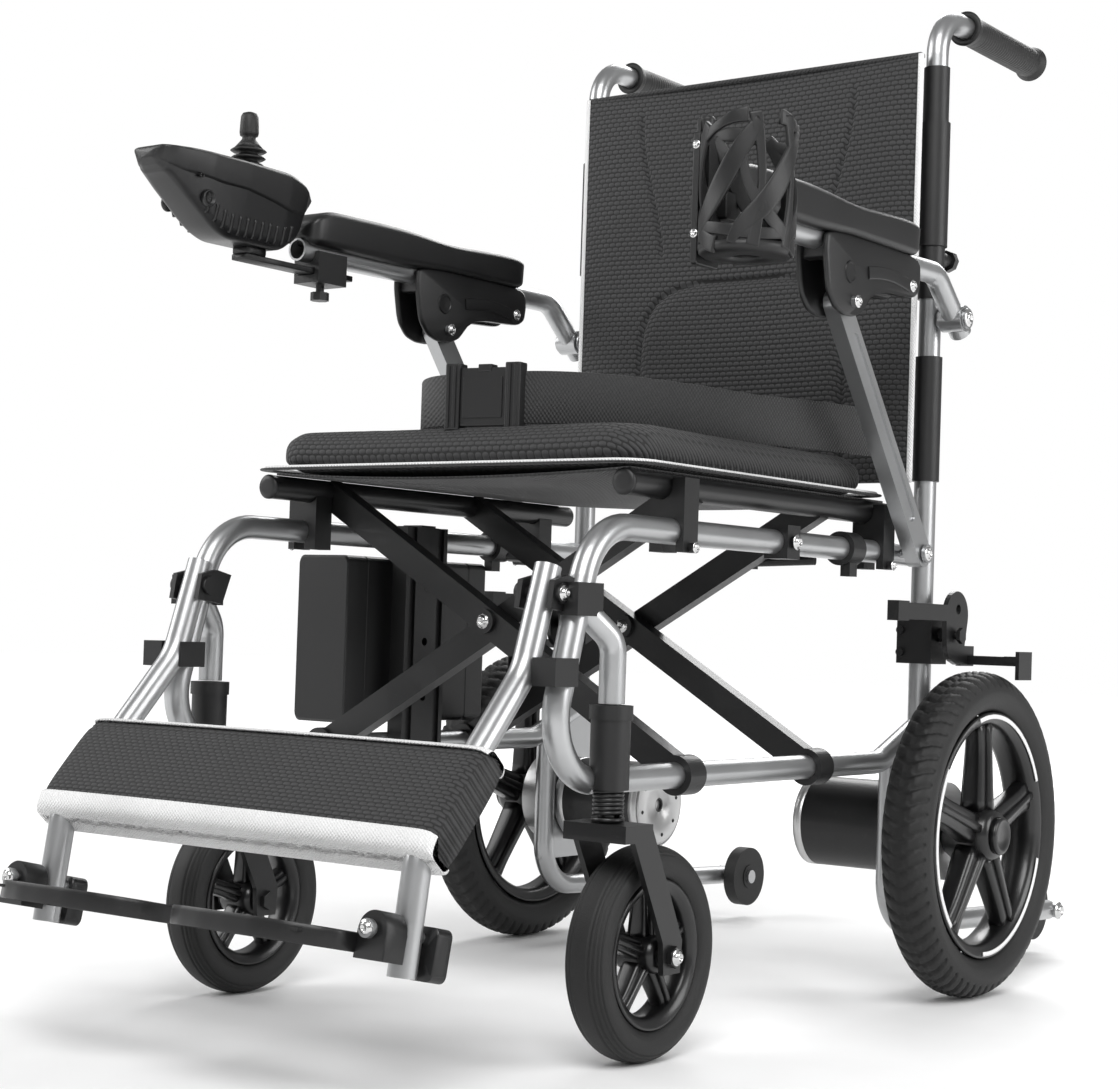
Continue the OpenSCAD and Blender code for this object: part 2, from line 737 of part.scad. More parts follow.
module battery() {
    color("black") difference() {
        translate([bat_x - bat_w, -126, bat_z]) cube([bat_w, bat_len, bat_h]);
        translate([bat_x - bat_w + 4, -127, bat_z + 4]) cube([bat_w - 8, bat_len - 8, bat_h - 8]);
    }
    color("black") box([bat_x - bat_w / 2, -126 + bat_len / 2, bat_z + bat_h + 2], [24, 90, 4.2]);
}

module battery_cells() {
    color("steelblue") for (i = [0:2], k = [0, 1])
        translate([bat_x - bat_w + 4 + k * (bat_w - 8) / 2, -127 + i * (bat_len - 8) / 3, bat_z + 4])
            cube([(bat_w - 8) / 2 - 0.5, (bat_len - 8) / 3 - 0.5, bat_h - 12]);
}

module controller_shell() {
    color("dimgray") difference() {
        union() {
            // lower shell and top cover, drawn as a side outline
            plate(ctl_x - 34, 68, [[-396, 753], [-392, 742], [-340, 702], [-305, 690], [-232, 690],
                [-212, 706], [-200, 738], [-222, 764], [-300, 764], [-390, 760]]);
        }
        // hollow inside
        plate(ctl_x - 30, 60, [[-386, 752], [-338, 708], [-304, 695], [-235, 695], [-217, 708],
            [-206, 738], [-224, 758], [-300, 758]]);
        translate([ctl_x, -262, 740]) cylinder(h = 40, r = 22.6, $fn = 48);
        translate([ctl_x, -338, 740]) cylinder(h = 40, r = 7 + part_gap, $fn = 32);
        // round port at the side
        xcyl([ctl_x + 32, -330, 726], 8, 12, 24);
    }
    // flat bar under the shell that slides in the clamp
    color("dimgray") box([ctl_x, -196, 682], [20, 148, 6]);
    color("dimgray") box([ctl_x, -256, 687], [20, 28, 7]);
}

module controller_mount() {
    color("black") difference() {
        union() {
            box([ctl_x, -158, 686], [32, 40, 30]);
            translate([ctl_x, -158, 662]) cylinder(h = 12, r = 4, $fn = 24);
            translate([ctl_x, -158, 656]) cylinder(h = 8, r = 9, $fn = 8);
        }
        mirror([1, 0, 0]) rod(arm_a - arm_dir * 20, arm_b + arm_dir * 20, tube_r + 0.02);
        box([ctl_x, -158, 682], [20 + 2 * part_gap, 90, 6 + 2 * part_gap]);
    }
}

module joystick_ring() {
    color("black") difference() {
        union() {
            translate([ctl_x, -262, 742]) cylinder(h = 5, r = 16, $fn = 48);
            xcyl([ctl_x, -262, 744.5], 1.6, 36, 12);
        }
        translate([ctl_x, -262, 730]) cylinder(h = 30, r = 10, $fn = 48);
    }
}

module joystick() {
    color("black") translate([ctl_x, -262, 0]) {
        translate([0, 0, 735]) cylinder(h = 66, r = 4, $fn = 24);
        // bellows
        for (k = [0:3]) translate([0, 0, 766 + k * 6]) cylinder(h = 6, r1 = 15 - 3 * k, r2 = 12 - 3 * k, $fn = 32);
        // knob
        translate([0, 0, 790]) cylinder(h = 22, r = 7.5, $fn = 32);
        translate([0, 0, 811]) sphere(r = 7.5, $fn = 32);
    }
}

module power_button() {
    color("black") translate([ctl_x, -338, 752]) {
        cylinder(h = 16, r = 7, $fn = 32);
        cylinder(h = 2.2, r = 10, $fn = 32);
    }
}

module cup_cage() {
    color("black") {
        translate([cage_c[0], cage_c[1], cage_z]) difference() {
            union() {
                cylinder(h = 8, r = 40, $fn = 48);
                translate([0, 0, 30]) cylinder(h = 12, r = 40, $fn = 48);
                translate([0, 0, 102]) cylinder(h = 12, r = 40, $fn = 48);
                for (k = [0:5]) rotate([0, 0, 60 * k + 30]) translate([37.6, 0, 57]) cube([4.6, 16, 112], center = true);
            }
            translate([0, 0, 4]) cylinder(h = 130, r = 35.5, $fn = 48);
        }
        // back plate and the saddle clamp under the end of the armrest tube
        difference() {
            union() {
                box([cage_c[0] - 37, -203.5, cage_z + 56], [8, 24, 120]);
                box([arm_x + 3, -195, 697.5], [38, 26, 25]);
            }
            rod(arm_a - arm_dir * 20, arm_b + arm_dir * 20, tube_r + 0.02);
            translate([cage_c[0], cage_c[1], cage_z - 10]) cylinder(h = 150, r = 36, $fn = 48);
        }
    }
}

side_frame(1);  // side_frame_l
side_frame(-1);  // side_frame_r
rail_brackets(1);  // rail_brackets_l
rail_brackets(-1);  // rail_brackets_r
cane_sleeves(1);  // cane_sleeves_l
cane_sleeves(-1);  // cane_sleeves_r
push_grip(1);  // push_grip_l
push_grip(-1);  // push_grip_r
steerer_sleeve(1);  // steerer_sleeve_l
steerer_sleeve(-1);  // steerer_sleeve_r
hanger_clamp(1);  // hanger_clamp_l
hanger_clamp(-1);  // hanger_clamp_r
caster_fork(1);  // caster_fork_l
caster_fork(-1);  // caster_fork_r
suspension_spring(1);  // suspension_spring_l
suspension_spring(-1);  // suspension_spring_r
caster_rim(1);  // caster_rim_l
caster_rim(-1);  // caster_rim_r
caster_tyre(1);  // caster_tyre_l
caster_tyre(-1);  // caster_tyre_r
rear_rim(1);  // rear_rim_l
rear_rim(-1);  // rear_rim_r
rear_tyre(1);  // rear_tyre_l
rear_tyre(-1);  // rear_tyre_r
motor(1);  // motor_l
motor(-1);  // motor_r
gearbox(1);  // gearbox_l
gearbox(-1);  // gearbox_r
anti_tip_wheel(1);  // anti_tip_wheel_l
anti_tip_wheel(-1);  // anti_tip_wheel_r
brake_lever(1);  // brake_lever_l
brake_lever(-1);  // brake_lever_r
armrest_tube(1);  // armrest_tube_l
armrest_tube(-1);  // armrest_tube_r
armrest_pad(1);  // armrest_pad_l
armrest_pad(-1);  // armrest_pad_r
armrest_bracket(1);  // armrest_bracket_l
armrest_bracket(-1);  // armrest_bracket_r
armrest_strut(1);  // armrest_strut_l
armrest_strut(-1);  // armrest_strut_r
hanger_tube(1);  // hanger_tube_l
hanger_tube(-1);  // hanger_tube_r
footplate(1);  // footplate_l
footplate(-1);  // footplate_r
cross_arm_a();
cross_arm_b();
seat_cushion();
seat_sling();
back_panel();
seat_belt();
belt_buckle();
calf_pad();
battery();
battery_cells();
controller_shell();
controller_mount();
joystick_ring();
joystick();
power_button();
cup_cage();
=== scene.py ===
# Folding power wheelchair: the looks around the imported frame.
import math

import bmesh
import bpy
import numpy as np
from mathutils import Matrix, Vector


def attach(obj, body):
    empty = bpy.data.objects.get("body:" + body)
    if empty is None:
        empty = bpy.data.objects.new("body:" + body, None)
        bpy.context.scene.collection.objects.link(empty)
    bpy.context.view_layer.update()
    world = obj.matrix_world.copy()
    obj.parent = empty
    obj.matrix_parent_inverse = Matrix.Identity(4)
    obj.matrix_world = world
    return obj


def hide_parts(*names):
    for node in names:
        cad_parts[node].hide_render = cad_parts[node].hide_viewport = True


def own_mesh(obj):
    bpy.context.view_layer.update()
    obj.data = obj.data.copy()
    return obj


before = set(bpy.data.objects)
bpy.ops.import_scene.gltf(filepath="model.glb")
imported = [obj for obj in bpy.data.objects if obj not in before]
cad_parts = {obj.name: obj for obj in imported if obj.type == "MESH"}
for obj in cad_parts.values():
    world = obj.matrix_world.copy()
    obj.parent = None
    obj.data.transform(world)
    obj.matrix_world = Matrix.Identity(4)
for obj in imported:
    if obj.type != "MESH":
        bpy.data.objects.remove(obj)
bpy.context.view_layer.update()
pi = math.pi
print("frame loaded")


# camera
cameraSet = dict(turn=36.35, tilt=1.46, roll=1.90, place=(1.2055, -1.7091, 0.3485),
                 lens=70.0, shiftX=-0.0005, shiftY=0.0233)


def makeCamera(v):
    turn, tilt, roll = (math.radians(v[k]) for k in ("turn", "tilt", "roll"))
    look = np.array([-math.sin(turn) * math.cos(tilt), math.cos(turn) * math.cos(tilt), math.sin(tilt)])
    right = np.array([math.cos(turn), math.sin(turn), 0.0])
    up = np.cross(right, look)
    across = right * math.cos(roll) + up * math.sin(roll)
    upward = up * math.cos(roll) - right * math.sin(roll)
    data = bpy.data.cameras.new("camera")
    data.lens, data.sensor_width = v["lens"], 36.0
    data.shift_x, data.shift_y = v["shiftX"], v["shiftY"]
    data.clip_end = 60.0
    cam = bpy.data.objects.new("camera", data)
    m = Matrix.Identity(4)
    for i in range(3):
        m[i][0], m[i][1], m[i][2], m[i][3] = across[i], upward[i], -look[i], v["place"][i]
    cam.matrix_world = m
    bpy.context.scene.collection.objects.link(cam)
    bpy.context.scene.camera = cam


makeCamera(cameraSet)


# node groups and materials
def newGroup(name, ins, outs):
    g = bpy.data.node_groups.new(name, "ShaderNodeTree")
    for n, kind, value in ins:
        s = g.interface.new_socket(n, in_out="INPUT", socket_type=kind)
        if value is not None:
            s.default_value = value
    for n, kind in outs:
        g.interface.new_socket(n, in_out="OUTPUT", socket_type=kind)
    return g, g.nodes.new("NodeGroupInput"), g.nodes.new("NodeGroupOutput")


def mathNode(g, op, a, b=None):
    n = g.nodes.new("ShaderNodeMath")
    n.operation = op
    for i, v in enumerate((a, b)):
        if v is None:
            continue
        if hasattr(v, "links"):
            g.links.new(v, n.inputs[i])
        else:
            n.inputs[i].default_value = v
    return n.outputs[0]


def noiseNode(g, vec, scale, detail=3.0, rough=0.5):
    n = g.nodes.new("ShaderNodeTexNoise")
    n.inputs["Scale"].default_value = scale
    n.inputs["Detail"].default_value = detail
    n.inputs["Roughness"].default_value = rough
    g.links.new(vec, n.inputs["Vector"])
    return n.outputs[0]


# fine grain, broad patches and worn spots, from three noises of different scale
def makeGrainGroup():
    g, i, o = newGroup("surfaceGrain",
                       [("Vector", "NodeSocketVector", None), ("Fine", "NodeSocketFloat", 900.0),
                        ("Broad", "NodeSocketFloat", 14.0)],
                       [("Grain", "NodeSocketFloat"), ("Patch", "NodeSocketFloat"), ("Wear", "NodeSocketFloat")])
    fine = g.nodes.new("ShaderNodeTexNoise")
    fine.inputs["Detail"].default_value = 2.0
    broad = g.nodes.new("ShaderNodeTexNoise")
    broad.inputs["Detail"].default_value = 4.0
    for n, s in ((fine, "Fine"), (broad, "Broad")):
        g.links.new(i.outputs["Vector"], n.inputs["Vector"])
        g.links.new(i.outputs[s], n.inputs["Scale"])
    spots = noiseNode(g, i.outputs["Vector"], 160.0, 5.0, 0.7)
    wear = mathNode(g, "MULTIPLY", mathNode(g, "SUBTRACT", spots, 0.60), 6.0)
    wear = mathNode(g, "MINIMUM", mathNode(g, "MAXIMUM", wear, 0.0), 1.0)
    g.links.new(fine.outputs[0], o.inputs["Grain"])
    g.links.new(broad.outputs[0], o.inputs["Patch"])
    g.links.new(wear, o.inputs["Wear"])
    return g


# rows of small raised cells, every second row shifted by half a cell: a warp-knitted mesh
def makeKnitGroup():
    g, i, o = newGroup("knitMesh",
                       [("Vector", "NodeSocketVector", None), ("Across", "NodeSocketFloat", 190.0),
                        ("Along", "NodeSocketFloat", 300.0)],
                       [("Height", "NodeSocketFloat"), ("GapShade", "NodeSocketFloat")])
    sep = g.nodes.new("ShaderNodeSeparateXYZ")
    g.links.new(i.outputs["Vector"], sep.inputs[0])
    v = mathNode(g, "MULTIPLY", mathNode(g, "ADD", sep.outputs[1], sep.outputs[2]), i.outputs["Along"])
    odd = mathNode(g, "MULTIPLY", mathNode(g, "MODULO", mathNode(g, "FLOOR", mathNode(g, "ADD", v, 5000.0)), 2.0), 0.5)
    u = mathNode(g, "ADD", mathNode(g, "MULTIPLY", sep.outputs[0], i.outputs["Across"]), odd)
    cu = mathNode(g, "ABSOLUTE", mathNode(g, "SUBTRACT", mathNode(g, "FRACT", mathNode(g, "ADD", u, 5000.0)), 0.5))
    cv = mathNode(g, "ABSOLUTE", mathNode(g, "SUBTRACT", mathNode(g, "FRACT", mathNode(g, "ADD", v, 5000.0)), 0.5))
    far = mathNode(g, "ADD", mathNode(g, "POWER", mathNode(g, "MULTIPLY", cu, 2.1), 2.6),
                   mathNode(g, "POWER", mathNode(g, "MULTIPLY", cv, 2.2), 2.6))
    height = mathNode(g, "SUBTRACT", 1.0, mathNode(g, "MINIMUM", far, 1.0))
    # the low ground between the cells, which the material paints darker: painted shade
    gapShade = mathNode(g, "LESS_THAN", height, 0.18)
    g.links.new(height, o.inputs["Height"])
    g.links.new(gapShade, o.inputs["GapShade"])
    return g


# narrow ribs crossing a band of webbing
def makeRibGroup():
    g, i, o = newGroup("webRib", [("Vector", "NodeSocketVector", None), ("Ribs", "NodeSocketFloat", 700.0)],
                       [("Height", "NodeSocketFloat")])
    sep = g.nodes.new("ShaderNodeSeparateXYZ")
    g.links.new(i.outputs["Vector"], sep.inputs[0])
    a = mathNode(g, "SINE", mathNode(g, "MULTIPLY", mathNode(g, "ADD", sep.outputs[0], sep.outputs[1]),
                                     i.outputs["Ribs"]))
    b = mathNode(g, "SINE", mathNode(g, "MULTIPLY", sep.outputs[2], i.outputs["Ribs"]))
    g.links.new(mathNode(g, "MULTIPLY", a, b), o.inputs["Height"])
    return g


grainGroup, knitGroup, ribGroup = makeGrainGroup(), makeKnitGroup(), makeRibGroup()


def finish(name, base, rough, metallic=0.0, fine=900.0, bump=0.1, vary=0.25, worn=None, wearShare=0.3,
           knit=None, ribs=None, gapShadeColour=None, coat=0.0, sheen=0.0, roughVary=0.12):
    m = bpy.data.materials.new(name)
    m.use_nodes = True
    g = m.node_tree
    g.nodes.clear()
    out = g.nodes.new("ShaderNodeOutputMaterial")
    bsdf = g.nodes.new("ShaderNodeBsdfPrincipled")
    g.links.new(bsdf.outputs[0], out.inputs[0])
    bsdf.inputs["Metallic"].default_value = metallic
    bsdf.inputs["Coat Weight"].default_value = coat
    bsdf.inputs["Sheen Weight"].default_value = sheen
    bsdf.inputs["Sheen Roughness"].default_value = 0.5
    tex = g.nodes.new("ShaderNodeTexCoord")
    grain = g.nodes.new("ShaderNodeGroup")
    grain.node_tree = grainGroup
    grain.inputs["Fine"].default_value = fine
    g.links.new(tex.outputs["Object"], grain.inputs["Vector"])
    ramp = g.nodes.new("ShaderNodeValToRGB")
    ramp.color_ramp.elements[0].position, ramp.color_ramp.elements[1].position = 0.3, 0.7
    for e, k in zip(ramp.color_ramp.elements, (1 - vary, 1 + vary)):
        e.color = tuple(min(1.0, c * k) for c in base) + (1.0,)
    g.links.new(grain.outputs["Patch"], ramp.inputs[0])
    colour = ramp.outputs[0]

    def blend(colour, mask, other):
        mix = g.nodes.new("ShaderNodeMix")
        mix.data_type = "RGBA"
        g.links.new(mask, mix.inputs[0])
        g.links.new(colour, mix.inputs[6])
        mix.inputs[7].default_value = tuple(other) + (1.0,)
        return mix.outputs[2]

    if worn:
        colour = blend(colour, mathNode(g, "MULTIPLY", grain.outputs["Wear"], wearShare), worn)
    height = grain.outputs["Grain"]
    if knit:
        k = g.nodes.new("ShaderNodeGroup")
        k.node_tree = knitGroup
        k.inputs["Across"].default_value, k.inputs["Along"].default_value = knit
        g.links.new(tex.outputs["Object"], k.inputs["Vector"])
        # the gaps between the knit cells take a darker colour: painted shade
        colour = blend(colour, k.outputs["GapShade"], gapShadeColour)
        height = mathNode(g, "ADD", k.outputs["Height"], mathNode(g, "MULTIPLY", height, 0.25))
    if ribs:
        k = g.nodes.new("ShaderNodeGroup")
        k.node_tree = ribGroup
        k.inputs["Ribs"].default_value = ribs
        g.links.new(tex.outputs["Object"], k.inputs["Vector"])
        height = mathNode(g, "ADD", k.outputs["Height"], mathNode(g, "MULTIPLY", height, 0.4))
    g.links.new(colour, bsdf.inputs["Base Color"])
    g.links.new(mathNode(g, "ADD", mathNode(g, "MULTIPLY", grain.outputs["Patch"], roughVary), rough - roughVary / 2),
                bsdf.inputs["Roughness"])
    b = g.nodes.new("ShaderNodeBump")
    b.inputs["Strength"].default_value = bump
    b.inputs["Distance"].default_value = 0.001
    g.links.new(height, b.inputs["Height"])
    g.links.new(b.outputs[0], bsdf.inputs["Normal"])
    return m


deepBlack = (0.0035, 0.0035, 0.0038)
mats = dict(
    silverTube=finish("silverTube", (0.43, 0.435, 0.44), 0.33, 0.92, fine=2200, bump=0.04, vary=0.04,
                      worn=(0.33, 0.33, 0.33), wearShare=0.15, coat=0.1),
    blackSteel=finish("blackSteel", deepBlack, 0.40, fine=1600, bump=0.10, vary=0.2,
                      worn=(0.035, 0.035, 0.035), wearShare=0.25, coat=0.1),
    blackPlastic=finish("blackPlastic", deepBlack, 0.42, fine=2600, bump=0.16, vary=0.2,
                        worn=(0.02, 0.02, 0.02), wearShare=0.3),
    padPlastic=finish("padPlastic", deepBlack, 0.40, fine=2000, bump=0.14, vary=0.2,
                      worn=(0.05, 0.05, 0.05), wearShare=0.15),
    coverPlastic=finish("coverPlastic", (0.005, 0.005, 0.0055), 0.33, fine=2600, bump=0.12, vary=0.12,
                        worn=(0.03, 0.03, 0.03), wearShare=0.3),
    gripRubber=finish("gripRubber", (0.005, 0.005, 0.005), 0.50, fine=1500, bump=0.3, vary=0.25,
                      worn=(0.05, 0.05, 0.05), wearShare=0.25),
    tyreRubber=finish("tyreRubber", (0.004, 0.004, 0.004), 0.58, fine=1100, bump=0.35, vary=0.35,
                      worn=(0.022, 0.021, 0.020), wearShare=0.35),
    rimPlastic=finish("rimPlastic", deepBlack, 0.30, fine=1800, bump=0.08, vary=0.15,
                      worn=(0.02, 0.02, 0.02), wearShare=0.3, coat=0.15),
    brightSteel=finish("brightSteel", (0.62, 0.62, 0.62), 0.22, 1.0, fine=1300, bump=0.06, vary=0.05,
                       worn=(0.35, 0.35, 0.35), wearShare=0.2),
    castAlloy=finish("castAlloy", (0.60, 0.60, 0.60), 0.36, 0.9, fine=800, bump=0.12, vary=0.06,
                     worn=(0.35, 0.35, 0.35), wearShare=0.25),
    # the mesh cover's darker colour in the gaps between knit cells is painted shade
    meshCover=finish("meshCover", (0.030, 0.030, 0.031), 0.7, fine=1500, bump=1.0, vary=0.12,
                     knit=(125.0, 195.0), gapShadeColour=(0.003, 0.003, 0.003), sheen=0.05),
    webbing=finish("webbing", (0.016, 0.016, 0.0165), 0.7, fine=1800, bump=0.5, vary=0.15, ribs=1300.0, sheen=0.1),
    paleTrim=finish("paleTrim", (0.74, 0.74, 0.74), 0.6, fine=1500, bump=0.45, vary=0.06, ribs=1800.0,
                    worn=(0.5, 0.5, 0.5), wearShare=0.2, sheen=0.1),
    reflector=finish("reflector", (0.86, 0.86, 0.86), 0.35, fine=900, bump=0.06, vary=0.04,
                     worn=(0.6, 0.6, 0.6), wearShare=0.1),
    cellWrap=finish("cellWrap", (0.10, 0.22, 0.45), 0.35, fine=900, bump=0.06, vary=0.08),
)
print("materials ready:", len(mats))

nodeLooks = dict(
    silverTube=["side_frame", "armrest_tube", "armrest_strut", "hanger_tube"],
    blackPlastic=["rail_brackets", "cane_sleeves", "steerer_sleeve", "hanger_clamp", "armrest_bracket", "armrest_pad",
                  "footplate", "belt_buckle", "battery", "controller_mount", "cup_cage", "joystick", "joystick_ring",
                  "power_button"],
    coverPlastic=["controller_shell"],
    gripRubber=["push_grip"],
    blackSteel=["caster_fork", "motor", "brake_lever", "cross_arm"],
    rimPlastic=["caster_rim", "rear_rim"],
    tyreRubber=["caster_tyre", "rear_tyre", "anti_tip_wheel"],
    brightSteel=["suspension_spring"],
    castAlloy=["gearbox"],
    meshCover=["seat_cushion", "back_panel", "calf_pad"],
    webbing=["seat_sling", "seat_belt"],
    cellWrap=["battery_cells"],
)
for look, stems in nodeLooks.items():
    for nodeName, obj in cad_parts.items():
        if any(nodeName.startswith(s) for s in stems):
            obj.data.materials.clear()
            obj.data.materials.append(mats[look])


# mesh helpers
# quads between the rows of a grid of points, with either direction closed
def gridFaces(nu, nv, wrapU, wrapV):
    i, j = np.meshgrid(np.arange(nu if wrapU else nu - 1), np.arange(nv if wrapV else nv - 1), indexing="ij")
    i2, j2 = (i + 1) % nu, (j + 1) % nv
    return np.stack([i * nv + j, i2 * nv + j, i2 * nv + j2, i * nv + j2], -1).reshape(-1, 4)


class Shape:
    def __init__(self):
        self.v, self.f, self.n = [], [], 0

    # points is rows x columns x 3; capped rows close onto a middle point
    def grid(self, points, wrapU=False, wrapV=False, capU=False, at=None):
        p = np.asarray(points, float)
        nu, nv = p.shape[:2]
        v = p.reshape(-1, 3)
        f = gridFaces(nu, nv, wrapU, wrapV)
        tris = []
        if capU:
            ends = np.stack([p[0].mean(0), p[-1].mean(0)])
            j = np.arange(nv)
            j2 = (j + 1) % nv
            tris = [np.stack([np.full(nv, nu * nv), j, j2], -1),
                    np.stack([np.full(nv, nu * nv + 1), (nu - 1) * nv + j2, (nu - 1) * nv + j], -1)]
            v = np.concatenate([v, ends])
        allTris = np.concatenate([f[:, [0, 1, 2]], f[:, [0, 2, 3]]] + tris)
        a, b, c = v[allTris[:, 0]], v[allTris[:, 1]], v[allTris[:, 2]]
        flip = (a * np.cross(b, c)).sum() < 0 and (capU or (wrapU and wrapV))
        faces = [list(q[::-1]) if flip else list(q) for q in (f + self.n).tolist()]
        for t in tris:
            faces += [list(q[::-1]) if flip else list(q) for q in (t + self.n).tolist()]
        if at is not None:
            v = v @ np.asarray(at[0], float).T + np.asarray(at[1], float)
        self.v.append(v)
        self.f += faces
        self.n += len(v)
        return self

    def tube(self, points, at=None):
        return self.grid(points, wrapV=True, capU=True, at=at)

    def ring(self, points, at=None):
        return self.grid(points, wrapU=True, wrapV=True, at=at)

    def sweep(self, path, section, ref=(0, 0, 1), at=None):
        return self.tube(sweepPoints(path, section, ref), at)

    def build(self, name, look, body, replaces=(), smooth=True, bevel=0.0, slot=None):
        mesh = bpy.data.meshes.new(name)
        mesh.from_pydata(np.concatenate(self.v).tolist(), [], self.f)
        mesh.validate()
        mesh.materials.append(mats[look])
        mesh.polygons.foreach_set("use_smooth", [smooth] * len(mesh.polygons))
        obj = bpy.data.objects.new(name, mesh)
        bpy.context.scene.collection.objects.link(obj)
        if bevel:
            m = obj.modifiers.new("bevel", "BEVEL")
            m.width, m.segments, m.limit_method = bevel, 2, "ANGLE"
            m.angle_limit = math.radians(40)
        if body:
            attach(obj, body)
        if replaces:
            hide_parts(*replaces)
        return obj


def smoothAngle(obj, degrees=35):
    mesh = obj.data
    bm = bmesh.new()
    bm.from_mesh(mesh)
    for e in bm.edges:
        e.smooth = len(e.link_faces) != 2 or e.calc_face_angle(0.0) < math.radians(degrees)
    bm.to_mesh(mesh)
    bm.free()
    return obj


# a ring of section points carried along a path, upright to the path and the reference direction
def sweepPoints(path, section, ref=(0, 0, 1)):
    path, section = np.asarray(path, float), np.asarray(section, float)
    t = np.gradient(path, axis=0)
    t /= np.linalg.norm(t, axis=1, keepdims=True)
    side = np.cross(t, np.asarray(ref, float))
    side /= np.linalg.norm(side, axis=1, keepdims=True)
    up = np.cross(side, t)
    return path[:, None] + side[:, None] * section[None, :, :1] + up[:, None] * section[None, :, 1:]


def circleSection(r, n=16):
    a = np.arange(n) * 2 * pi / n
    return np.stack([r * np.cos(a), r * np.sin(a)], -1)


def roundRect(w, h, r, n=6):
    a = np.linspace(0, pi / 2, n)
    q = []
    for k, (cx, cy) in enumerate(((w / 2 - r, h / 2 - r), (-w / 2 + r, h / 2 - r), (-w / 2 + r, -h / 2 + r),
                                  (w / 2 - r, -h / 2 + r))):
        q.append(np.stack([cx + r * np.cos(a + k * pi / 2), cy + r * np.sin(a + k * pi / 2)], -1))
    return np.concatenate(q)


# a rounded box outline set off from the middle
def boxOutline(x0, x1, y0, y1, r, n):
    return roundRect(x1 - x0, y1 - y0, r, n) + np.array([(x0 + x1) / 2, (y0 + y1) / 2])


# a flat outline repeated at each level along an axis, scaled about its middle by each share
def layers(outline, levels, axis, shares=None):
    mid, rows = outline.mean(0), []
    for i, d in enumerate(levels):
        flat = outline if shares is None or shares[i] == 1 else (outline - mid) * shares[i] + mid
        at = np.full(len(flat), d)
        a, b = flat[:, 0], flat[:, 1]
        rows.append(np.stack(dict(x=(at, a, b), y=(a, at, b), z=(a, b, at))[axis], -1))
    return np.array(rows)


# a smooth closed outline of n points near given points
def smoothOutline(points, n):
    loop = np.concatenate([points[-3:], points, points[:3]])
    fine = np.linspace(3, 3 + len(points), n + 1)[:-1]
    columns = [np.interp(fine, np.arange(len(loop)), loop[:, c]) for c in (0, 1)]
    return np.stack([np.convolve(np.pad(q, 2, mode="wrap"), np.ones(5) / 5, "valid") for q in columns], -1)


# a piece that hangs between the two sides gets its own copy of its mesh
def narrows(obj):
    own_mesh(obj)


# profile is (distance along the axis, radius) turned round the axis through centre
def lathePoints(profile, centre, axis="x", n=64, turn=2 * pi, start=0.0):
    p = np.asarray(profile, float)
    closed = abs(turn - 2 * pi) < 1e-6
    a = start + (np.arange(n) * turn / n if closed else np.linspace(0, turn, n))
    h, r = p[None, :, 0] + 0 * a[:, None], p[None, :, 1] + 0 * a[:, None]
    c, s = r * np.cos(a[:, None]), r * np.sin(a[:, None])
    order = dict(x=(h, c, s), y=(c, h, s), z=(c, s, h))[axis]
    return np.stack(order, -1) + np.asarray(centre, float), closed


# closed profiles (loops) make rings; open ones run from the axis to the axis
def addLathe(shape, profile, centre, axis="x", n=64, loop=True, turn=2 * pi, start=0.0):
    pts, closed = lathePoints(profile, centre, axis, n, turn, start)
    if loop:
        shape.grid(pts, wrapU=closed, wrapV=True, capU=not closed)
    else:
        pts = pts.transpose(1, 0, 2)
        shape.tube(pts)
    return shape


def boltHead(shape, place, axis, r=0.006, h=0.005, sides=24):
    # a dome on a thin washer, with a socket in its top
    s = 1 if axis[0] == "+" else -1
    prof = [(0, r * 1.35), (0.12 * h, r * 1.4), (0.2 * h, r * 1.35), (0.22 * h, r), (0.7 * h, r * 0.95),
            (0.95 * h, r * 0.75),
            (h, r * 0.5), (0.55 * h, r * 0.45)]
    addLathe(shape, [(s * a, b) for a, b in prof], place, axis[1], sides, loop=False)


sides = (("l", 1), ("r", -1))
mm = 0.001
chair = dict(frameHalf=0.209, rearX=0.273, rearY=0.254, rearR=0.159, steerX=0.223, steerY=-0.299, casterY=-0.246,
             casterR=0.0875, armX=0.236, handleZ=0.977, hangX=0.192)


# wheels
rearSet = dict(halfWidth=0.0238, sectionR=0.1375, high=0.0212, blocks=66, grooveDepth=0.0028, steps=528, around=56)


def rearTyre(side, s, v):
    a = np.arange(v["steps"]) * 2 * pi / v["steps"]
    b = np.arange(v["around"]) * 2 * pi / v["around"]
    along, about = np.meshgrid(a, b, indexing="ij")
    sx, cr = np.sin(about), np.cos(about)
    x = v["halfWidth"] * np.sign(sx) * np.abs(sx) ** 0.85
    r = v["sectionR"] + v["high"] * np.sign(cr) * np.abs(cr) ** 0.9
    # blocks: a groove where the slanted phase of the block is near its end, plus two round grooves
    phase = (along * v["blocks"] / (2 * pi) + np.abs(x) * 42) % 1.0
    cross = np.clip((0.30 - np.minimum(phase, 1 - phase) * 2) / 0.08, 0, 1)
    ring = np.clip(1 - np.abs(np.abs(x) - 0.0075) / 0.0016, 0, 1)
    centre = np.clip(1 - np.abs(x) / 0.0011, 0, 1)
    onTread = np.clip((cr - 0.35) / 0.08, 0, 1)
    r = r - v["grooveDepth"] * np.maximum(np.maximum(cross, ring), centre) * onTread
    # raised rings on the sidewalls
    x = x * (1 + 0.03 * np.clip(1 - np.abs(cr - 0.05) / 0.12, 0, 1))
    pts = np.stack([x + s * chair["rearX"], r * np.cos(along) + chair["rearY"], r * np.sin(along) + chair["rearR"]], -1)
    Shape().ring(pts).build("rearTyre_" + side, "tyreRubber", "rear_wheel_" + side,
                                                    ["rear_tyre_" + side], slot="tyre_rubber")


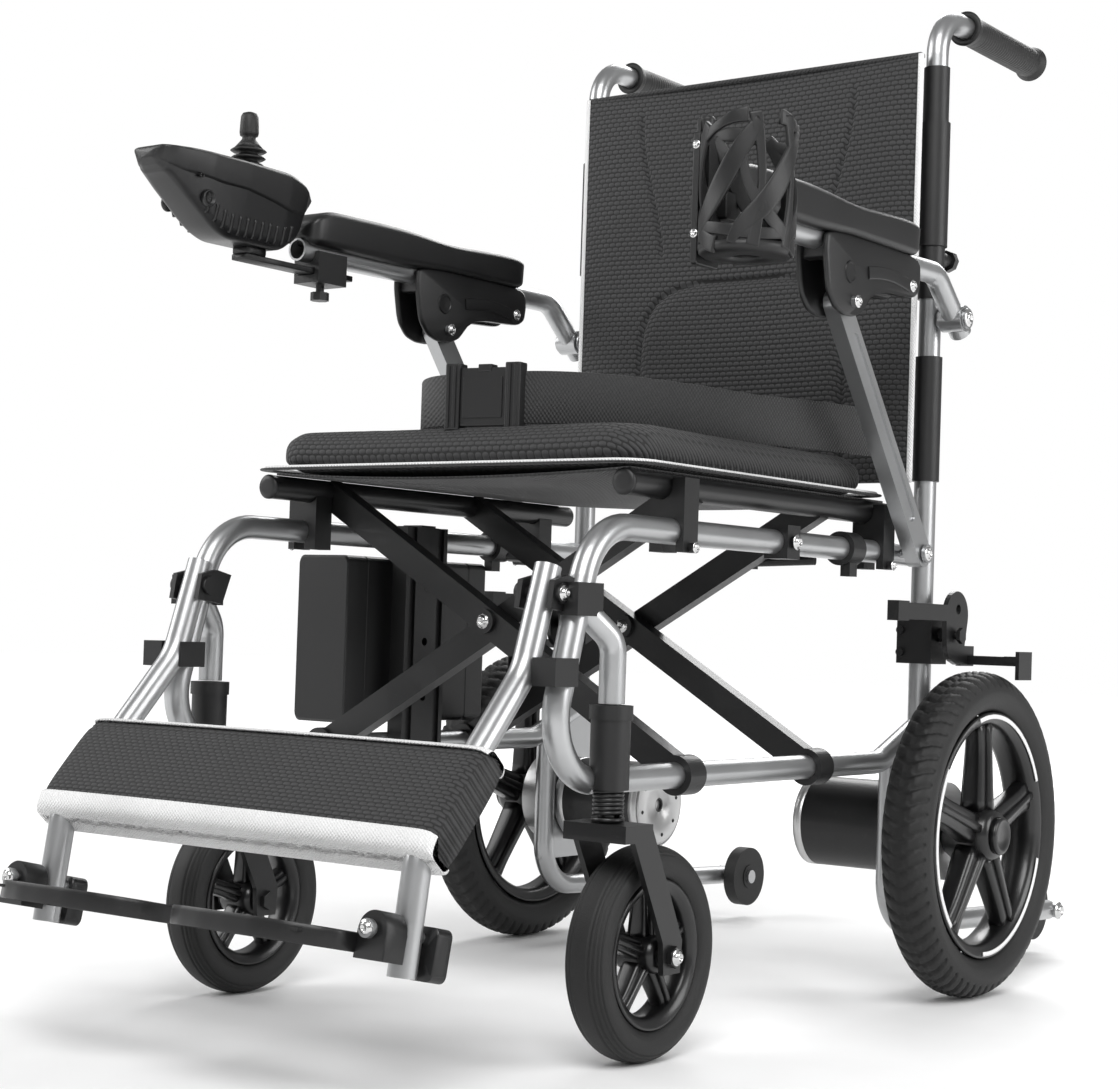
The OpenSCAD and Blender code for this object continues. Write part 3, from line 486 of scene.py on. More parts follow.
def spokeSet(shape, centre, s, r0, r1, w0, w1, t0, t1, n=5, out=0.0):
    # each spoke is a rounded bar from r0 to r1 whose width and thickness change along it
    k = np.linspace(0, 1, 9)
    section = roundRect(1.0, 1.0, 0.22, 4)
    for i in range(n):
        ang = pi / 2 + i * 2 * pi / n
        d, e = np.array([0, math.cos(ang), math.sin(ang)]), np.array([0, -math.sin(ang), math.cos(ang)])
        w, t = w0 + (w1 - w0) * k + 0.35 * (w1 + w0) * (k ** 6) * 0.6, t0 + (t1 - t0) * k
        rr = r0 + (r1 - r0) * k
        pts = (np.asarray(centre)[None, None] + rr[:, None, None] * d + (section[None, :, :1] * w[:, None, None]) * e
               + (section[None, :, 1:] * t[:, None, None]) * np.array([1.0, 0, 0]) + out * s * np.array([1.0, 0, 0]))
        shape.tube(pts)


def rearRim(side, s):
    c = (s * chair["rearX"], chair["rearY"], chair["rearR"])
    sh = Shape()
    # the channel that holds the tyre, and its bead
    ring = [(-19, 117), (-19.5, 119), (-16, 119.5), (-12, 112), (12, 112), (16, 119.5), (19.5, 119), (19, 117),
            (17, 110),
            (12, 106), (-12, 106), (-17, 110)]
    addLathe(sh, np.array(ring) * mm, c, "x", 128)
    spokeSet(sh, c, s, 0.022, 0.110, 0.030, 0.022, 0.024, 0.018, out=0.004)
    spokeSet(sh, c, s, 0.022, 0.110, 0.010, 0.007, 0.034, 0.024, out=0.004)
    hub = [(-24, 10.2), (-24, 22), (-18, 26), (10, 27), (20, 25), (26, 22), (26, 10.2)]
    addLathe(sh, np.array([(s * a, b) for a, b in hub]) * mm, c, "x", 64)
    sh.build("rearRim_" + side, "rimPlastic", "rear_wheel_" + side, ["rear_rim_" + side], slot="rim_plastic")
    cap = Shape()
    prof = [(26.2, 18), (30.5, 18.6), (32.2, 17.5), (33, 15), (31.5, 12), (31.0, 4)]
    addLathe(cap, np.array([(s * a, b) for a, b in prof]) * mm, c, "x", 48, loop=False)
    cap.build("hubCap_" + side, "rimPlastic", "rear_wheel_" + side)
    arc = Shape()
    for k in range(3):
        prof = np.array([(19.2, 113.0), (20.1, 113.2), (20.4, 115.2), (20.1, 117.2), (19.2, 117.4)]) * mm
        addLathe(arc, [(s * a, b) for a, b in prof], c, "x", 40, loop=True, turn=math.radians(80),
                 start=math.radians(25 + 120 * k))
    arc.build("reflectorArcs_" + side, "reflector", "rear_wheel_" + side)


casterSet = dict(halfWidth=0.0188, sectionR=0.0728, high=0.0147, steps=128, around=120,
                 grooves=(0.38, 0.62, 0.86, 1.10),
                 grooveDepth=0.0013)


def casterTyre(side, s, v):
    a = np.arange(v["steps"]) * 2 * pi / v["steps"]
    b = np.arange(v["around"]) * 2 * pi / v["around"]
    along, about = np.meshgrid(a, b, indexing="ij")
    sx, cr = np.sin(about), np.cos(about)
    b2 = np.minimum(about, 2 * pi - about)
    dip = sum(np.clip(1 - np.abs(b2 - g) / 0.055, 0, 1) for g in v["grooves"])
    k = 1 - dip * v["grooveDepth"] / v["high"]
    x = v["halfWidth"] * np.sign(sx) * np.abs(sx) ** 0.8 * k
    r = v["sectionR"] + v["high"] * np.sign(cr) * np.abs(cr) ** 0.85 * k
    pts = np.stack([x + s * chair["steerX"], r * np.cos(along) + chair["casterY"],
                    r * np.sin(along) + chair["casterR"]], -1)
    Shape().ring(pts).build("casterTyre_" + side, "tyreRubber", "caster_" + side,
                                                    ["caster_tyre_" + side], slot="tyre_rubber")


def casterRim(side, s):
    c = (s * chair["steerX"], chair["casterY"], chair["casterR"])
    sh = Shape()
    ring = [(-15, 58.5), (-15.5, 60.5), (-12, 61), (-9, 56), (9, 56), (12, 61), (15.5, 60.5), (15, 58.5), (13, 53),
            (9, 50.5),
            (-9, 50.5), (-13, 53)]
    addLathe(sh, np.array(ring) * mm, c, "x", 96)
    spokeSet(sh, c, s, 0.012, 0.053, 0.016, 0.012, 0.018, 0.014)
    spokeSet(sh, c, s, 0.012, 0.053, 0.006, 0.005, 0.026, 0.019)
    hub = [(-20, 6.3), (-20, 13), (-14, 15.5), (14, 15.5), (20, 13), (20, 6.3)]
    addLathe(sh, np.array(hub) * mm, c, "x", 48)
    sh.build("casterRim_" + side, "rimPlastic", "caster_" + side, ["caster_rim_" + side], slot="rim_plastic")


springSet = dict(turns=6.3, radius=0.0108, wire=0.0019, foot=0.0045, rise=0.0215)


# a wire wound round the stem of the fork
def suspensionSpring(side, s, v):
    base = chair["casterR"] * 2 + 0.006 + 0.0148
    t = np.linspace(0, 1, 220)
    turns, r = v["turns"], v["radius"]
    path = np.stack([s * chair["steerX"] + r * np.cos(turns * 2 * pi * t),
                     chair["steerY"] + r * np.sin(turns * 2 * pi * t),
                     base + v["foot"] + v["rise"] * t], -1)
    sh = Shape()
    sh.sweep(path, circleSection(v["wire"], 10))
    addLathe(sh, np.array([(0, 7.3), (0, 13.2), (3.4, 13.2), (3.4, 7.3)]) * mm,
             (s * chair["steerX"], chair["steerY"], base), "z", 48)
    sh.build("springCoil_" + side, "blackSteel", "suspension_" + side, ["suspension_spring_" + side],
             slot="bright_steel")


for side, s in sides:
    rearTyre(side, s, rearSet)
    rearRim(side, s)
    casterTyre(side, s, casterSet)
    casterRim(side, s)
    suspensionSpring(side, s, springSet)
print("wheels done")


# push grips
gripSet = dict(front=0.318, back=0.483, radius=0.0150, ripple=0.00022, ripples=34)


def pushGrip(side, s, v):
    y0, y1 = v["front"], v["back"]
    k = np.linspace(0, 1, 220)
    y = y0 + (y1 - y0) * k
    r = v["radius"] + v["ripple"] * np.cos(k * 2 * pi * v["ripples"]) * ((k > 0.12) & (k < 0.88))
    r = r + 0.0028 * np.clip(1 - k / 0.06, 0, 1) ** 0.5 + 0.0035 * np.clip((k - 0.93) / 0.05, 0, 1)
    r = np.where(k > 0.985, r * (1 - (k - 0.985) / 0.015 * 0.25), r)
    sh = Shape()
    loop = np.concatenate([np.stack([y, r], -1), [[y1 + 0.0008, 0.0113], [y0, 0.0113]]])
    addLathe(sh, loop, (s * chair["frameHalf"], 0, chair["handleZ"]), "y", 48)
    sh.build("pushGrip_" + side, "gripRubber", "frame_" + side, ["push_grip_" + side], slot="grip_rubber")


# armrest pads
padSet = dict(front=-0.190, back=0.145, top=0.7405, low=0.7050, half=0.0222)


# a long pad: rounded-box section, crowned along its top, lower in front, thinner behind
def armrestPad(side, s, v):
    y0, y1 = v["front"], v["back"]
    k = np.linspace(0, 1, 60)
    y = y0 + (y1 - y0) * k
    end = np.sqrt(np.clip(1 - (np.abs(2 * k - 1)) ** 22, 0, 1))
    top = v["top"] + 0.0020 * np.sin(k * pi) - 0.009 * np.clip(1 - k / 0.10, 0, 1) ** 2
    top = top - 0.0045 * np.exp(-((k - 0.62) / 0.16) ** 2) + 0.0015 * np.clip((k - 0.8) / 0.2, 0, 1)
    low = v["low"] + 0.0040 * np.clip((k - 0.40) / 0.2, 0, 1)
    w = v["half"] + 0.0008 * np.sin(k * pi)
    section = roundRect(2.0, 2.0, 0.42, 8)
    cx = s * chair["armX"]
    mid, half = (top + low) / 2, (top - low) / 2
    pts = np.stack([cx + section[None, :, 0] * (w * (0.62 + 0.38 * end))[:, None] * (1 + 0.04 * section[None, :, 1]),
                    y[:, None] + 0 * section[None, :, 0],
                    mid[:, None] + section[None, :, 1] * (half * (0.55 + 0.45 * end))[:, None]], -1)
    sh = Shape()
    sh.tube(pts)
    sh.build("armPad_" + side, "padPlastic", "armrest_" + side, ["armrest_pad_" + side], slot="black_plastic")


for side, s in sides:
    pushGrip(side, s, gripSet)
    armrestPad(side, s, padSet)
print("grips and pads done")


# padded fabric
# swells a closed mesh with air pressure, limits how far each point moves, then smooths it once
def inflate(obj, pressure=4.0, cap=0.008, voxel=0.006):
    m = obj.modifiers.new("remesh", "REMESH")
    m.mode, m.voxel_size = "VOXEL", voxel
    bpy.context.view_layer.objects.active = obj
    bpy.ops.object.modifier_apply(modifier="remesh")
    start = np.zeros(len(obj.data.vertices) * 3)
    obj.data.vertices.foreach_get("co", start)
    start = start.reshape(-1, 3)
    c = obj.modifiers.new("cloth", "CLOTH")
    c.settings.use_pressure = True
    c.settings.uniform_pressure_force = pressure
    c.settings.effector_weights.gravity = 0.0
    c.settings.quality = 4
    c.point_cache.frame_start, c.point_cache.frame_end = 1, 20
    for f in range(1, 21):
        bpy.context.scene.frame_set(f)
    bpy.ops.object.modifier_apply(modifier="cloth")
    bpy.context.scene.frame_set(1)
    now = np.zeros(len(obj.data.vertices) * 3)
    obj.data.vertices.foreach_get("co", now)
    now = now.reshape(-1, 3)
    step = now - start
    far = np.linalg.norm(step, axis=1, keepdims=True)
    now = start + step * np.minimum(1, cap / np.maximum(far, 1e-9))
    obj.data.vertices.foreach_set("co", now.ravel())
    obj.data.polygons.foreach_set("use_smooth", [True] * len(obj.data.polygons))
    obj.data.update()


def moved(obj, change):
    co = np.zeros(len(obj.data.vertices) * 3)
    obj.data.vertices.foreach_get("co", co)
    obj.data.vertices.foreach_set("co", change(co.reshape(-1, 3)).ravel())
    obj.data.update()


cushionSet = dict(half=0.209, front=-0.257, back=0.161, low=0.4845, top=0.5172, corner=0.035)


# a slab whose top is crowned and whose sides pull in between its corners
def cushion(v):
    sec = roundRect(2 * v["half"], v["back"] - v["front"], v["corner"], 12)
    cy = (v["back"] + v["front"]) / 2
    rows = []
    edge = np.array([0.0, 0.5, 0.93, 0.985, 1.0, 1.0, 1.0, 0.99, 0.965, 0.92, 0.5, 0.0])
    z = np.array([0.0, 0.0, 0.0, 0.08, 0.22, 0.40, 0.58, 0.78, 0.92, 1.0, 1.0, 1.0])
    for e, h in zip(edge, z):
        lift = v["low"] + (v["top"] - v["low"]) * h
        rows.append(np.stack([sec[:, 0] * max(e, 0.02), sec[:, 1] * max(e, 0.02) + cy, np.full(len(sec), lift)], -1))
    sh = Shape()
    sh.tube(np.array(rows))
    obj = sh.build("seatCushion", "meshCover", None)
    inflate(obj, 4.0, 0.007)

    def settle(co):
        x, y = co[:, 0] / v["half"], (co[:, 1] - cy) / (v["back"] - cy)
        crown = np.clip(1 - x ** 4, 0, 1) * np.clip(1 - y ** 4, 0, 1)
        upper = np.clip((co[:, 2] - 0.5) / 0.01, 0, 1)
        # a shallow welt runs round the top, a little in from the edge
        rim = np.maximum(np.abs(co[:, 0]) - (v["half"] - 0.012), np.abs(co[:, 1] - cy) - (v["back"] - cy - 0.012))
        welt = np.clip(1 - np.abs(rim) / 0.0035, 0, 1)
        co[:, 2] = np.maximum(co[:, 2] + upper * (0.003 * crown - 0.0016 * welt), 0.4826)
        co[:, 2] = np.minimum(co[:, 2], 0.5186)
        return co

    moved(obj, settle)
    m = obj.modifiers.new("subdiv", "SUBSURF")
    m.levels = m.render_levels = 1
    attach(obj, "seat")
    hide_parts("seat_cushion")
    # pale piping sewn round the lower edge
    line = roundRect(2 * v["half"] + 0.010, v["back"] - v["front"] + 0.010, v["corner"] * 0.8, 14)
    path = np.stack([line[:, 0], line[:, 1] + cy, np.full(len(line), 0.4850)], -1)
    pipe = Shape()
    closed = np.concatenate([path[-1:], path, path[:1]])
    pts = sweepPoints(closed, circleSection(0.0021, 10))[1:-1]
    pipe.ring(pts)
    p = pipe.build("seatPiping", "paleTrim", "seat")
    hem = Shape()
    flange = sweepPoints(closed, roundRect(0.012, 0.0016, 0.0006, 2))[1:-1]
    flange[:, :, 2] -= 0.0012
    hem.ring(flange)
    h = hem.build("seatHem", "webbing", "seat")
    for o in (obj, p, h):
        narrows(o)


cushion(cushionSet)
print("seat cushion done")


def clothPanel(name, fn, nu, nv, look, body, thick, replaces=(), squashed=True, slot="mesh_fabric"):
    u, w = np.meshgrid(np.linspace(0, 1, nu), np.linspace(0, 1, nv), indexing="ij")
    front = fn(u, w, 0.0)
    rear = fn(u, w, thick)
    sh = Shape()
    # one closed skin: across the front, then back across the rear
    ring = np.concatenate([front, rear[:, ::-1]], 1)
    sh.tube(ring)
    obj = sh.build(name, look, body, replaces, slot=slot)
    if squashed:
        narrows(obj)
    return obj


backSet = dict(half=0.203, low=0.503, top=0.931, front=0.2315, thick=0.0095)


def smoothStep(x, a, b):
    t = np.clip((x - a) / (b - a), 0, 1)
    return t * t * (3 - 2 * t)


# upholstery of the back: slightly hollow across, with two long curved seams and a lower panel
def backPanel(v):
    def surface(u, w, t):
        x = (2 * u - 1) * v["half"]
        z = v["low"] + (v["top"] - v["low"]) * w
        edge = 1 - np.abs(2 * u - 1) ** 10
        hollow = 0.0045 * (1 - (2 * u - 1) ** 2)
        puff = 0.0035 * edge * (1 - np.abs(2 * w - 1) ** 10)
        # long seams lean inwards as they go up, then the lower panel's arched outline
        seamX = 0.100 + 0.030 * smoothStep(z, 0.74, 0.90)
        seam = np.clip(1 - np.abs(np.abs(x) - seamX) / 0.0035, 0,
                       1) * smoothStep(z, 0.74, 0.76) * (1 - smoothStep(z, 0.895, 0.92))
        arch = ((np.abs(x) / 0.125) ** 4 + (np.maximum(z - 0.60, 0) / 0.118) ** 4) ** 0.25
        arch = np.where(z < 0.60, np.abs(x) / 0.125, arch)
        line = np.clip(1 - np.abs(arch - 1.0) / 0.035, 0, 1)
        raised = 0.0030 * np.clip((1.0 - arch) / 0.10, 0, 1)
        y = v["front"] + hollow - puff + 0.0035 * np.maximum(seam, line) - raised
        if t:
            y = v["front"] + hollow + t - 0.002 * (1 - edge)
        return np.stack([x, y, z], -1)

    clothPanel("backUpholstery", surface, 160, 200, "meshCover", "frame_l", v["thick"], ["back_panel"])
    pipe = Shape()
    for s in (1, -1):
        z = np.linspace(v["low"], v["top"] + 0.001, 60)
        path = np.stack([np.full(60, s * (v["half"] + 0.0008)), np.full(60, v["front"] + 0.0015), z], -1)
        pipe.sweep(path, circleSection(0.0030, 10), ref=(0, 1, 0))
    x = np.linspace(-v["half"], v["half"], 60)
    p = pipe.build("backPiping", "paleTrim", "frame_l")
    hem = Shape()
    path = np.stack([x, np.full(60, v["front"] + 0.0055), np.full(60, v["top"] + 0.0005)], -1)
    hem.sweep(path, roundRect(0.011, 0.005, 0.002, 3))
    h = hem.build("backHem", "webbing", "frame_l")
    for o in (p, h):
        narrows(o)


backPanel(backSet)
print("back done")


slingSet = dict(half=0.198, front=-0.248, deep=0.438, rail=0.4812, sag=0.006, thick=0.002)


# sling under the cushion: hangs in a shallow curve between the seat rails
def seatSling(v):
    def surface(u, w, t):
        x = (2 * u - 1) * v["half"]
        y = v["front"] + v["deep"] * w
        z = v["rail"] - v["sag"] * (1 - (2 * u - 1) ** 2) * (0.75 + 0.25 * np.cos(w * pi) ** 2) + t
        return np.stack([x, y, z], -1)
    obj = clothPanel("seatSling", surface, 60, 60, "webbing", "seat", -v["thick"], ["seat_sling"], squashed=False,
                     slot="webbing")
    narrows(obj)


seatSling(slingSet)


beltSet = dict(middle=0.025, left=0.1725, right=0.2225, front=-0.2345, deep=0.440, foot=0.5175, thick=0.0022,
               high=0.046)


# lap belt: a flat band standing on the cushion in a half oval from cane to cane
def lapBelt(v):
    def at(t):
        a = np.radians(t)
        wide = np.where(t > 0, v["left"], v["right"])
        return v["middle"] + wide * np.sin(a), v["front"] + v["deep"] * (1 - np.cos(a))
    sh = Shape()
    for lo, hi in ((-88, -6), (12, 88)):
        t = np.linspace(lo, hi, 90)
        x, y = at(t)
        rise = 0.004 * np.sin(np.radians(t) * 3.0)
        path = np.stack([x, y, v["foot"] + 0.0245 + np.abs(rise)], -1)
        sh.sweep(path, roundRect(v["thick"], v["high"], 0.0010, 3))
    obj = sh.build("lapBelt", "webbing", "frame_l", ["seat_belt"], slot="webbing")
    narrows(obj)


def beltBuckle():
    sh = Shape()
    ang = math.radians(8)
    rot = np.array([[math.cos(ang), -math.sin(ang), 0], [math.sin(ang), math.cos(ang), 0], [0, 0, 1]])
    place = np.array([0.031, -0.229, 0.517])

    def slab(x0, x1, y0, y1, z0, z1, r=0.002):
        levels = (z0, z0 + 0.0012, z1 - 0.0012, z1)
        pts = layers(boxOutline(x0, x1, y0, y1, r, 4), levels, "z", (0.97, 1, 1, 0.97))
        sh.tube(pts, at=(rot, place))

    slab(-0.0375, -0.0225, -0.0088, 0.0055, 0.0, 0.0575)
    slab(-0.0235, 0.0235, -0.0068, 0.0035, 0.003, 0.0535)
    slab(0.0225, 0.0375, -0.0088, 0.0055, 0.0, 0.0575)
    slab(-0.0050, 0.0085, -0.0075, 0.0040, 0.0500, 0.0565, 0.001)
    for x in (-0.0340, -0.0275, 0.0275, 0.0340):
        slab(x - 0.0016, x + 0.0016, -0.0098, -0.0080, 0.002, 0.0555, 0.0007)
    slab(-0.020, 0.020, -0.0078, -0.0060, 0.010, 0.0455, 0.001)
    obj = sh.build("beltBuckle", "blackPlastic", "frame_l", ["belt_buckle"], smooth=False)
    narrows(obj)


lapBelt(beltSet)
beltBuckle()
print("belt done")

# calf pad
legB, legC = np.array([-0.374, 0.312]), np.array([-0.492, 0.182])
legDir = (legC - legB) / np.linalg.norm(legC - legB)
calfMid = legB + legDir * 0.134 + np.array([0.001, -0.001])


calfSet = dict(half=0.2125, high=0.0475, deep=0.0205, bulge=0.10)


# a wrapped sleeve round both hangers: closed loop across the chair, swollen between its hems
def calfPad(v):
    n = np.array([-legDir[1], legDir[0]])
    if n[0] > 0:
        n = -n
    half, high, deep = v["half"], v["high"], v["deep"]
    u = np.linspace(-1, 1, 90)
    a = np.linspace(0, 2 * pi, 96, endpoint=False)
    span, about = np.meshgrid(u, a, indexing="ij")
    # section: a long oval, full in front, flat behind
    c, s = np.cos(about), np.sin(about)
    along = high * np.sign(s) * np.abs(s) ** 0.55
    bulge = 1 + v["bulge"] * (1 - span ** 2)
    out = np.where(c > 0, deep * np.sign(c) * np.abs(c) ** 0.5 * bulge, deep * np.sign(c) * np.abs(c) ** 0.35)
    seam = np.clip(1 - np.abs(np.abs(along) - (high - 0.012)) / 0.002, 0, 1)
    out = out - 0.0012 * seam * (c > 0)
    end = np.sqrt(np.clip(1 - np.abs(span) ** 40, 0, 1)) * 0.3 + 0.7
    y = calfMid[0] + along * legDir[0] * 1.0 + out * n[0] * end
    z = calfMid[1] + along * legDir[1] * 1.0 + out * n[1] * end
    pts = np.stack([span * half, y, z], -1)
    sh = Shape()
    sh.tube(pts)
    obj = sh.build("calfPad", "meshCover", "legrest_l", ["calf_pad"], slot="mesh_fabric")
    band = Shape()
    # pale hems: the same section a little larger, only near its two long edges
    for k in (1, -1):
        aa = np.linspace(-1.0 if k > 0 else -0.70, 0.62, 44)[::k] * k + k * pi / 2
        uu = np.linspace(-1.004, 1.004, 120)
        span2, about2 = np.meshgrid(uu, aa, indexing="ij")
        c2, s2 = np.cos(about2), np.sin(about2)
        al = (high + 0.0028) * np.sign(s2) * np.abs(s2) ** 0.55
        bl = 1 + v["bulge"] * (1 - np.clip(span2, -1, 1) ** 2)
        ou = np.where(c2 > 0, deep * np.abs(c2) ** 0.5 * bl, -deep * np.abs(c2) ** 0.35) + 0.0026 * np.sign(c2)
        tip = np.sqrt(np.clip(1 - np.abs(np.clip(span2, -1, 1)) ** 40, 0, 1)) * 0.3 + 0.7
        lay = []
        for off in (1.0, 0.90):
            yy = calfMid[0] + al * legDir[0] + ou * off * n[0] * tip
            zz = calfMid[1] + al * legDir[1] + ou * off * n[1] * tip
            lay.append(np.stack([span2 * half, yy, zz], -1))
        ring = np.concatenate([lay[0], lay[1][:, ::-1]], 1)
        band.tube(ring)
    b = band.build("calfPadBands", "paleTrim", "legrest_l")
    for o in (obj, b):
        narrows(o)


calfPad(calfSet)
print("calf pad done")


# controller
ctlX = -0.236


def controllerShell():
    # side outline: top and bottom heights and half width at stations from the nose to the rear
    yTop = np.array([-0.3880, -0.3855, -0.350, -0.300, -0.232, -0.214, -0.201])
    top = np.array([0.7585, 0.7622, 0.7640, 0.7640, 0.7635, 0.7575, 0.7420])
    yLow = np.array([-0.3880, -0.3860, -0.350, -0.320, -0.303, -0.232, -0.2115, -0.201])
    low = np.array([0.7530, 0.7465, 0.7190, 0.6975, 0.6915, 0.6915, 0.7060, 0.7360])
    yWide = np.array([-0.3880, -0.3870, -0.3850, -0.3815, -0.375, -0.362, -0.335, -0.290, -0.235, -0.210, -0.201])
    wide = np.array([0.0090, 0.0150, 0.0195, 0.0232, 0.0268, 0.0302, 0.0332, 0.0338, 0.0325, 0.0300, 0.0250])
    ys = np.concatenate([np.linspace(-0.388, -0.380, 21), np.linspace(-0.378, -0.214, 70),
                         np.linspace(-0.213, -0.201, 12)])
    ease = lambda q, n=3: np.convolve(np.pad(q, n, mode="edge"), np.ones(2 * n + 1) / (2 * n + 1), "valid")
    tops, lows, widths = ease(np.interp(ys, yTop, top)), ease(np.interp(ys, yLow, low)), np.interp(ys, yWide, wide)

    # how wide the section is at a share q of its height: drawn in towards the keel
    def wallShare(q):
        return 1 - 0.40 * np.clip(1 - q, 0, 1) ** 1.5

    sec = roundRect(2.0, 2.0, 0.30, 7)
    share = (sec[None, :, 1] + 1) / 2
    zz = lows[:, None] + share * (tops - lows)[:, None]
    pts = np.stack([ctlX + sec[None, :, 0] * widths[:, None] * wallShare(share), ys[:, None] + 0 * zz, zz], -1)
    sh = Shape()
    sh.tube(pts)
    smoothAngle(sh.build("controllerShell", "coverPlastic", "controller", ["controller_shell"],
                         slot="controller_plastic"), 50)
    # the cover is a lid with its own sweep: high at the nose, dipping to the middle of the side
    lid = Shape()
    lidShare = ease(np.interp(ys, [-0.388, -0.375, -0.345, -0.300, -0.250, -0.215, -0.201],
                              [0.10, 0.22, 0.50, 0.62, 0.52, 0.40, 0.40]), 6)
    lo = lows + (tops - lows) * lidShare
    secLid = roundRect(2.0, 2.0, 0.34, 7)
    shareLid = (secLid[None, :, 1] + 1) / 2
    zl = lo[:, None] + shareLid * (tops + 0.0006 - lo)[:, None]
    ql = (zl - lows[:, None]) / (tops - lows)[:, None]
    ptsLid = np.stack([ctlX + secLid[None, :, 0] * (widths * 1.012 + 0.0004)[:, None] * wallShare(ql),
                       ys[:, None] + 0 * zl, zl], -1)
    lid.tube(ptsLid[1:-1])
    smoothAngle(lid.build("controllerLid", "padPlastic", "controller"), 50)
    # upright vent ribs low on both sides, a round port, and the bar under the shell
    extra = Shape()
    for sgn in (1, -1):
        for i in range(12):
            yy = -0.333 + i * 0.0098
            zb, zt, ww = (float(np.interp(yy, ys, q)) for q in (lows, tops, widths))
            q = np.linspace(0.06, 0.30, 8)
            path = np.stack([ctlX + sgn * (ww * wallShare(q) - 0.0011), np.full(8, yy), zb + q * (zt - zb)], -1)
            extra.sweep(path, roundRect(0.0042, 0.0034, 0.0010, 3), ref=(0, 1, 0))
        for zc, r, xo in ((0.7220, 0.0075, 0.0262), (0.7400, 0.0020, 0.0300)):
            xx = ctlX + sgn * xo
            ring = [(-0.002, r), (0.0016, r), (0.0022, r * 0.9), (0.0018, r * 0.78), (-0.001, r * 0.74),
                    (-0.001, r * 0.1)]
            addLathe(extra, [(sgn * a, b) for a, b in ring], (xx, -0.336 if r > 0.005 else -0.350, zc), "x", 32,
                     loop=False)
    bar = roundRect(0.0196, 0.0056, 0.001, 3)
    path = np.stack([np.full(4, ctlX), np.linspace(-0.269, -0.1225, 4), np.full(4, 0.682)], -1)
    extra.sweep(path, bar)
    foot = np.stack([np.full(4, ctlX), np.linspace(-0.268, -0.244, 4), np.full(4, 0.6885)], -1)
    extra.sweep(foot, roundRect(0.0196, 0.008, 0.002, 3))
    extra.build("controllerVents", "blackPlastic", "controller")


def joystick():
    c = (ctlX, -0.262, 0)
    sh = Shape()
    prof = [(0.7612, 0.0190), (0.7640, 0.0194), (0.7650, 0.0150)]
    z = 0.7662
    # three soft discs, the widest on top, then the neck and the knob
    for r in (0.0152, 0.0162, 0.0170):
        prof += [(z, 0.0085), (z + 0.0006, r - 0.0022), (z + 0.0020, r), (z + 0.0034, r - 0.0016), (z + 0.0046, 0.0100)]
        z += 0.0068
    prof += [(z - 0.0022, 0.0135), (z + 0.0020, 0.0098), (z + 0.0060, 0.0066), (z + 0.0085, 0.0062),
             (z + 0.0095, 0.0084),
             (z + 0.0125, 0.0090), (z + 0.0220, 0.0086), (z + 0.0275, 0.0082), (z + 0.0305, 0.0066),
             (z + 0.0318, 0.0030)]
    addLathe(sh, prof, c, "z", 48, loop=False)
    addLathe(sh, [(0.7355, 0.003), (0.7355, 0.0039), (0.764, 0.0039), (0.764, 0.003)], c, "z", 24)
    sh.build("joystick", "gripRubber", "stick", ["joystick"], slot="black_plastic")
    knob = Shape()
    addLathe(knob, [(0.755, 0.0064), (0.7665, 0.0068), (0.7678, 0.0060), (0.7680, 0.0030)], (ctlX, -0.338, 0), "z",
             32, loop=False)
    addLathe(knob, [(0.752, 0.0098), (0.7545, 0.0098), (0.7545, 0.0064)], (ctlX, -0.338, 0), "z", 32, loop=False)
    knob.build("powerButton", "brightSteel", "button", ["power_button"])


controllerShell()
joystick()
print("controller done")


# cup holder
cageSet = dict(x=0.284, y=-0.217, floor=0.650, radius=0.0378, thick=0.0034)


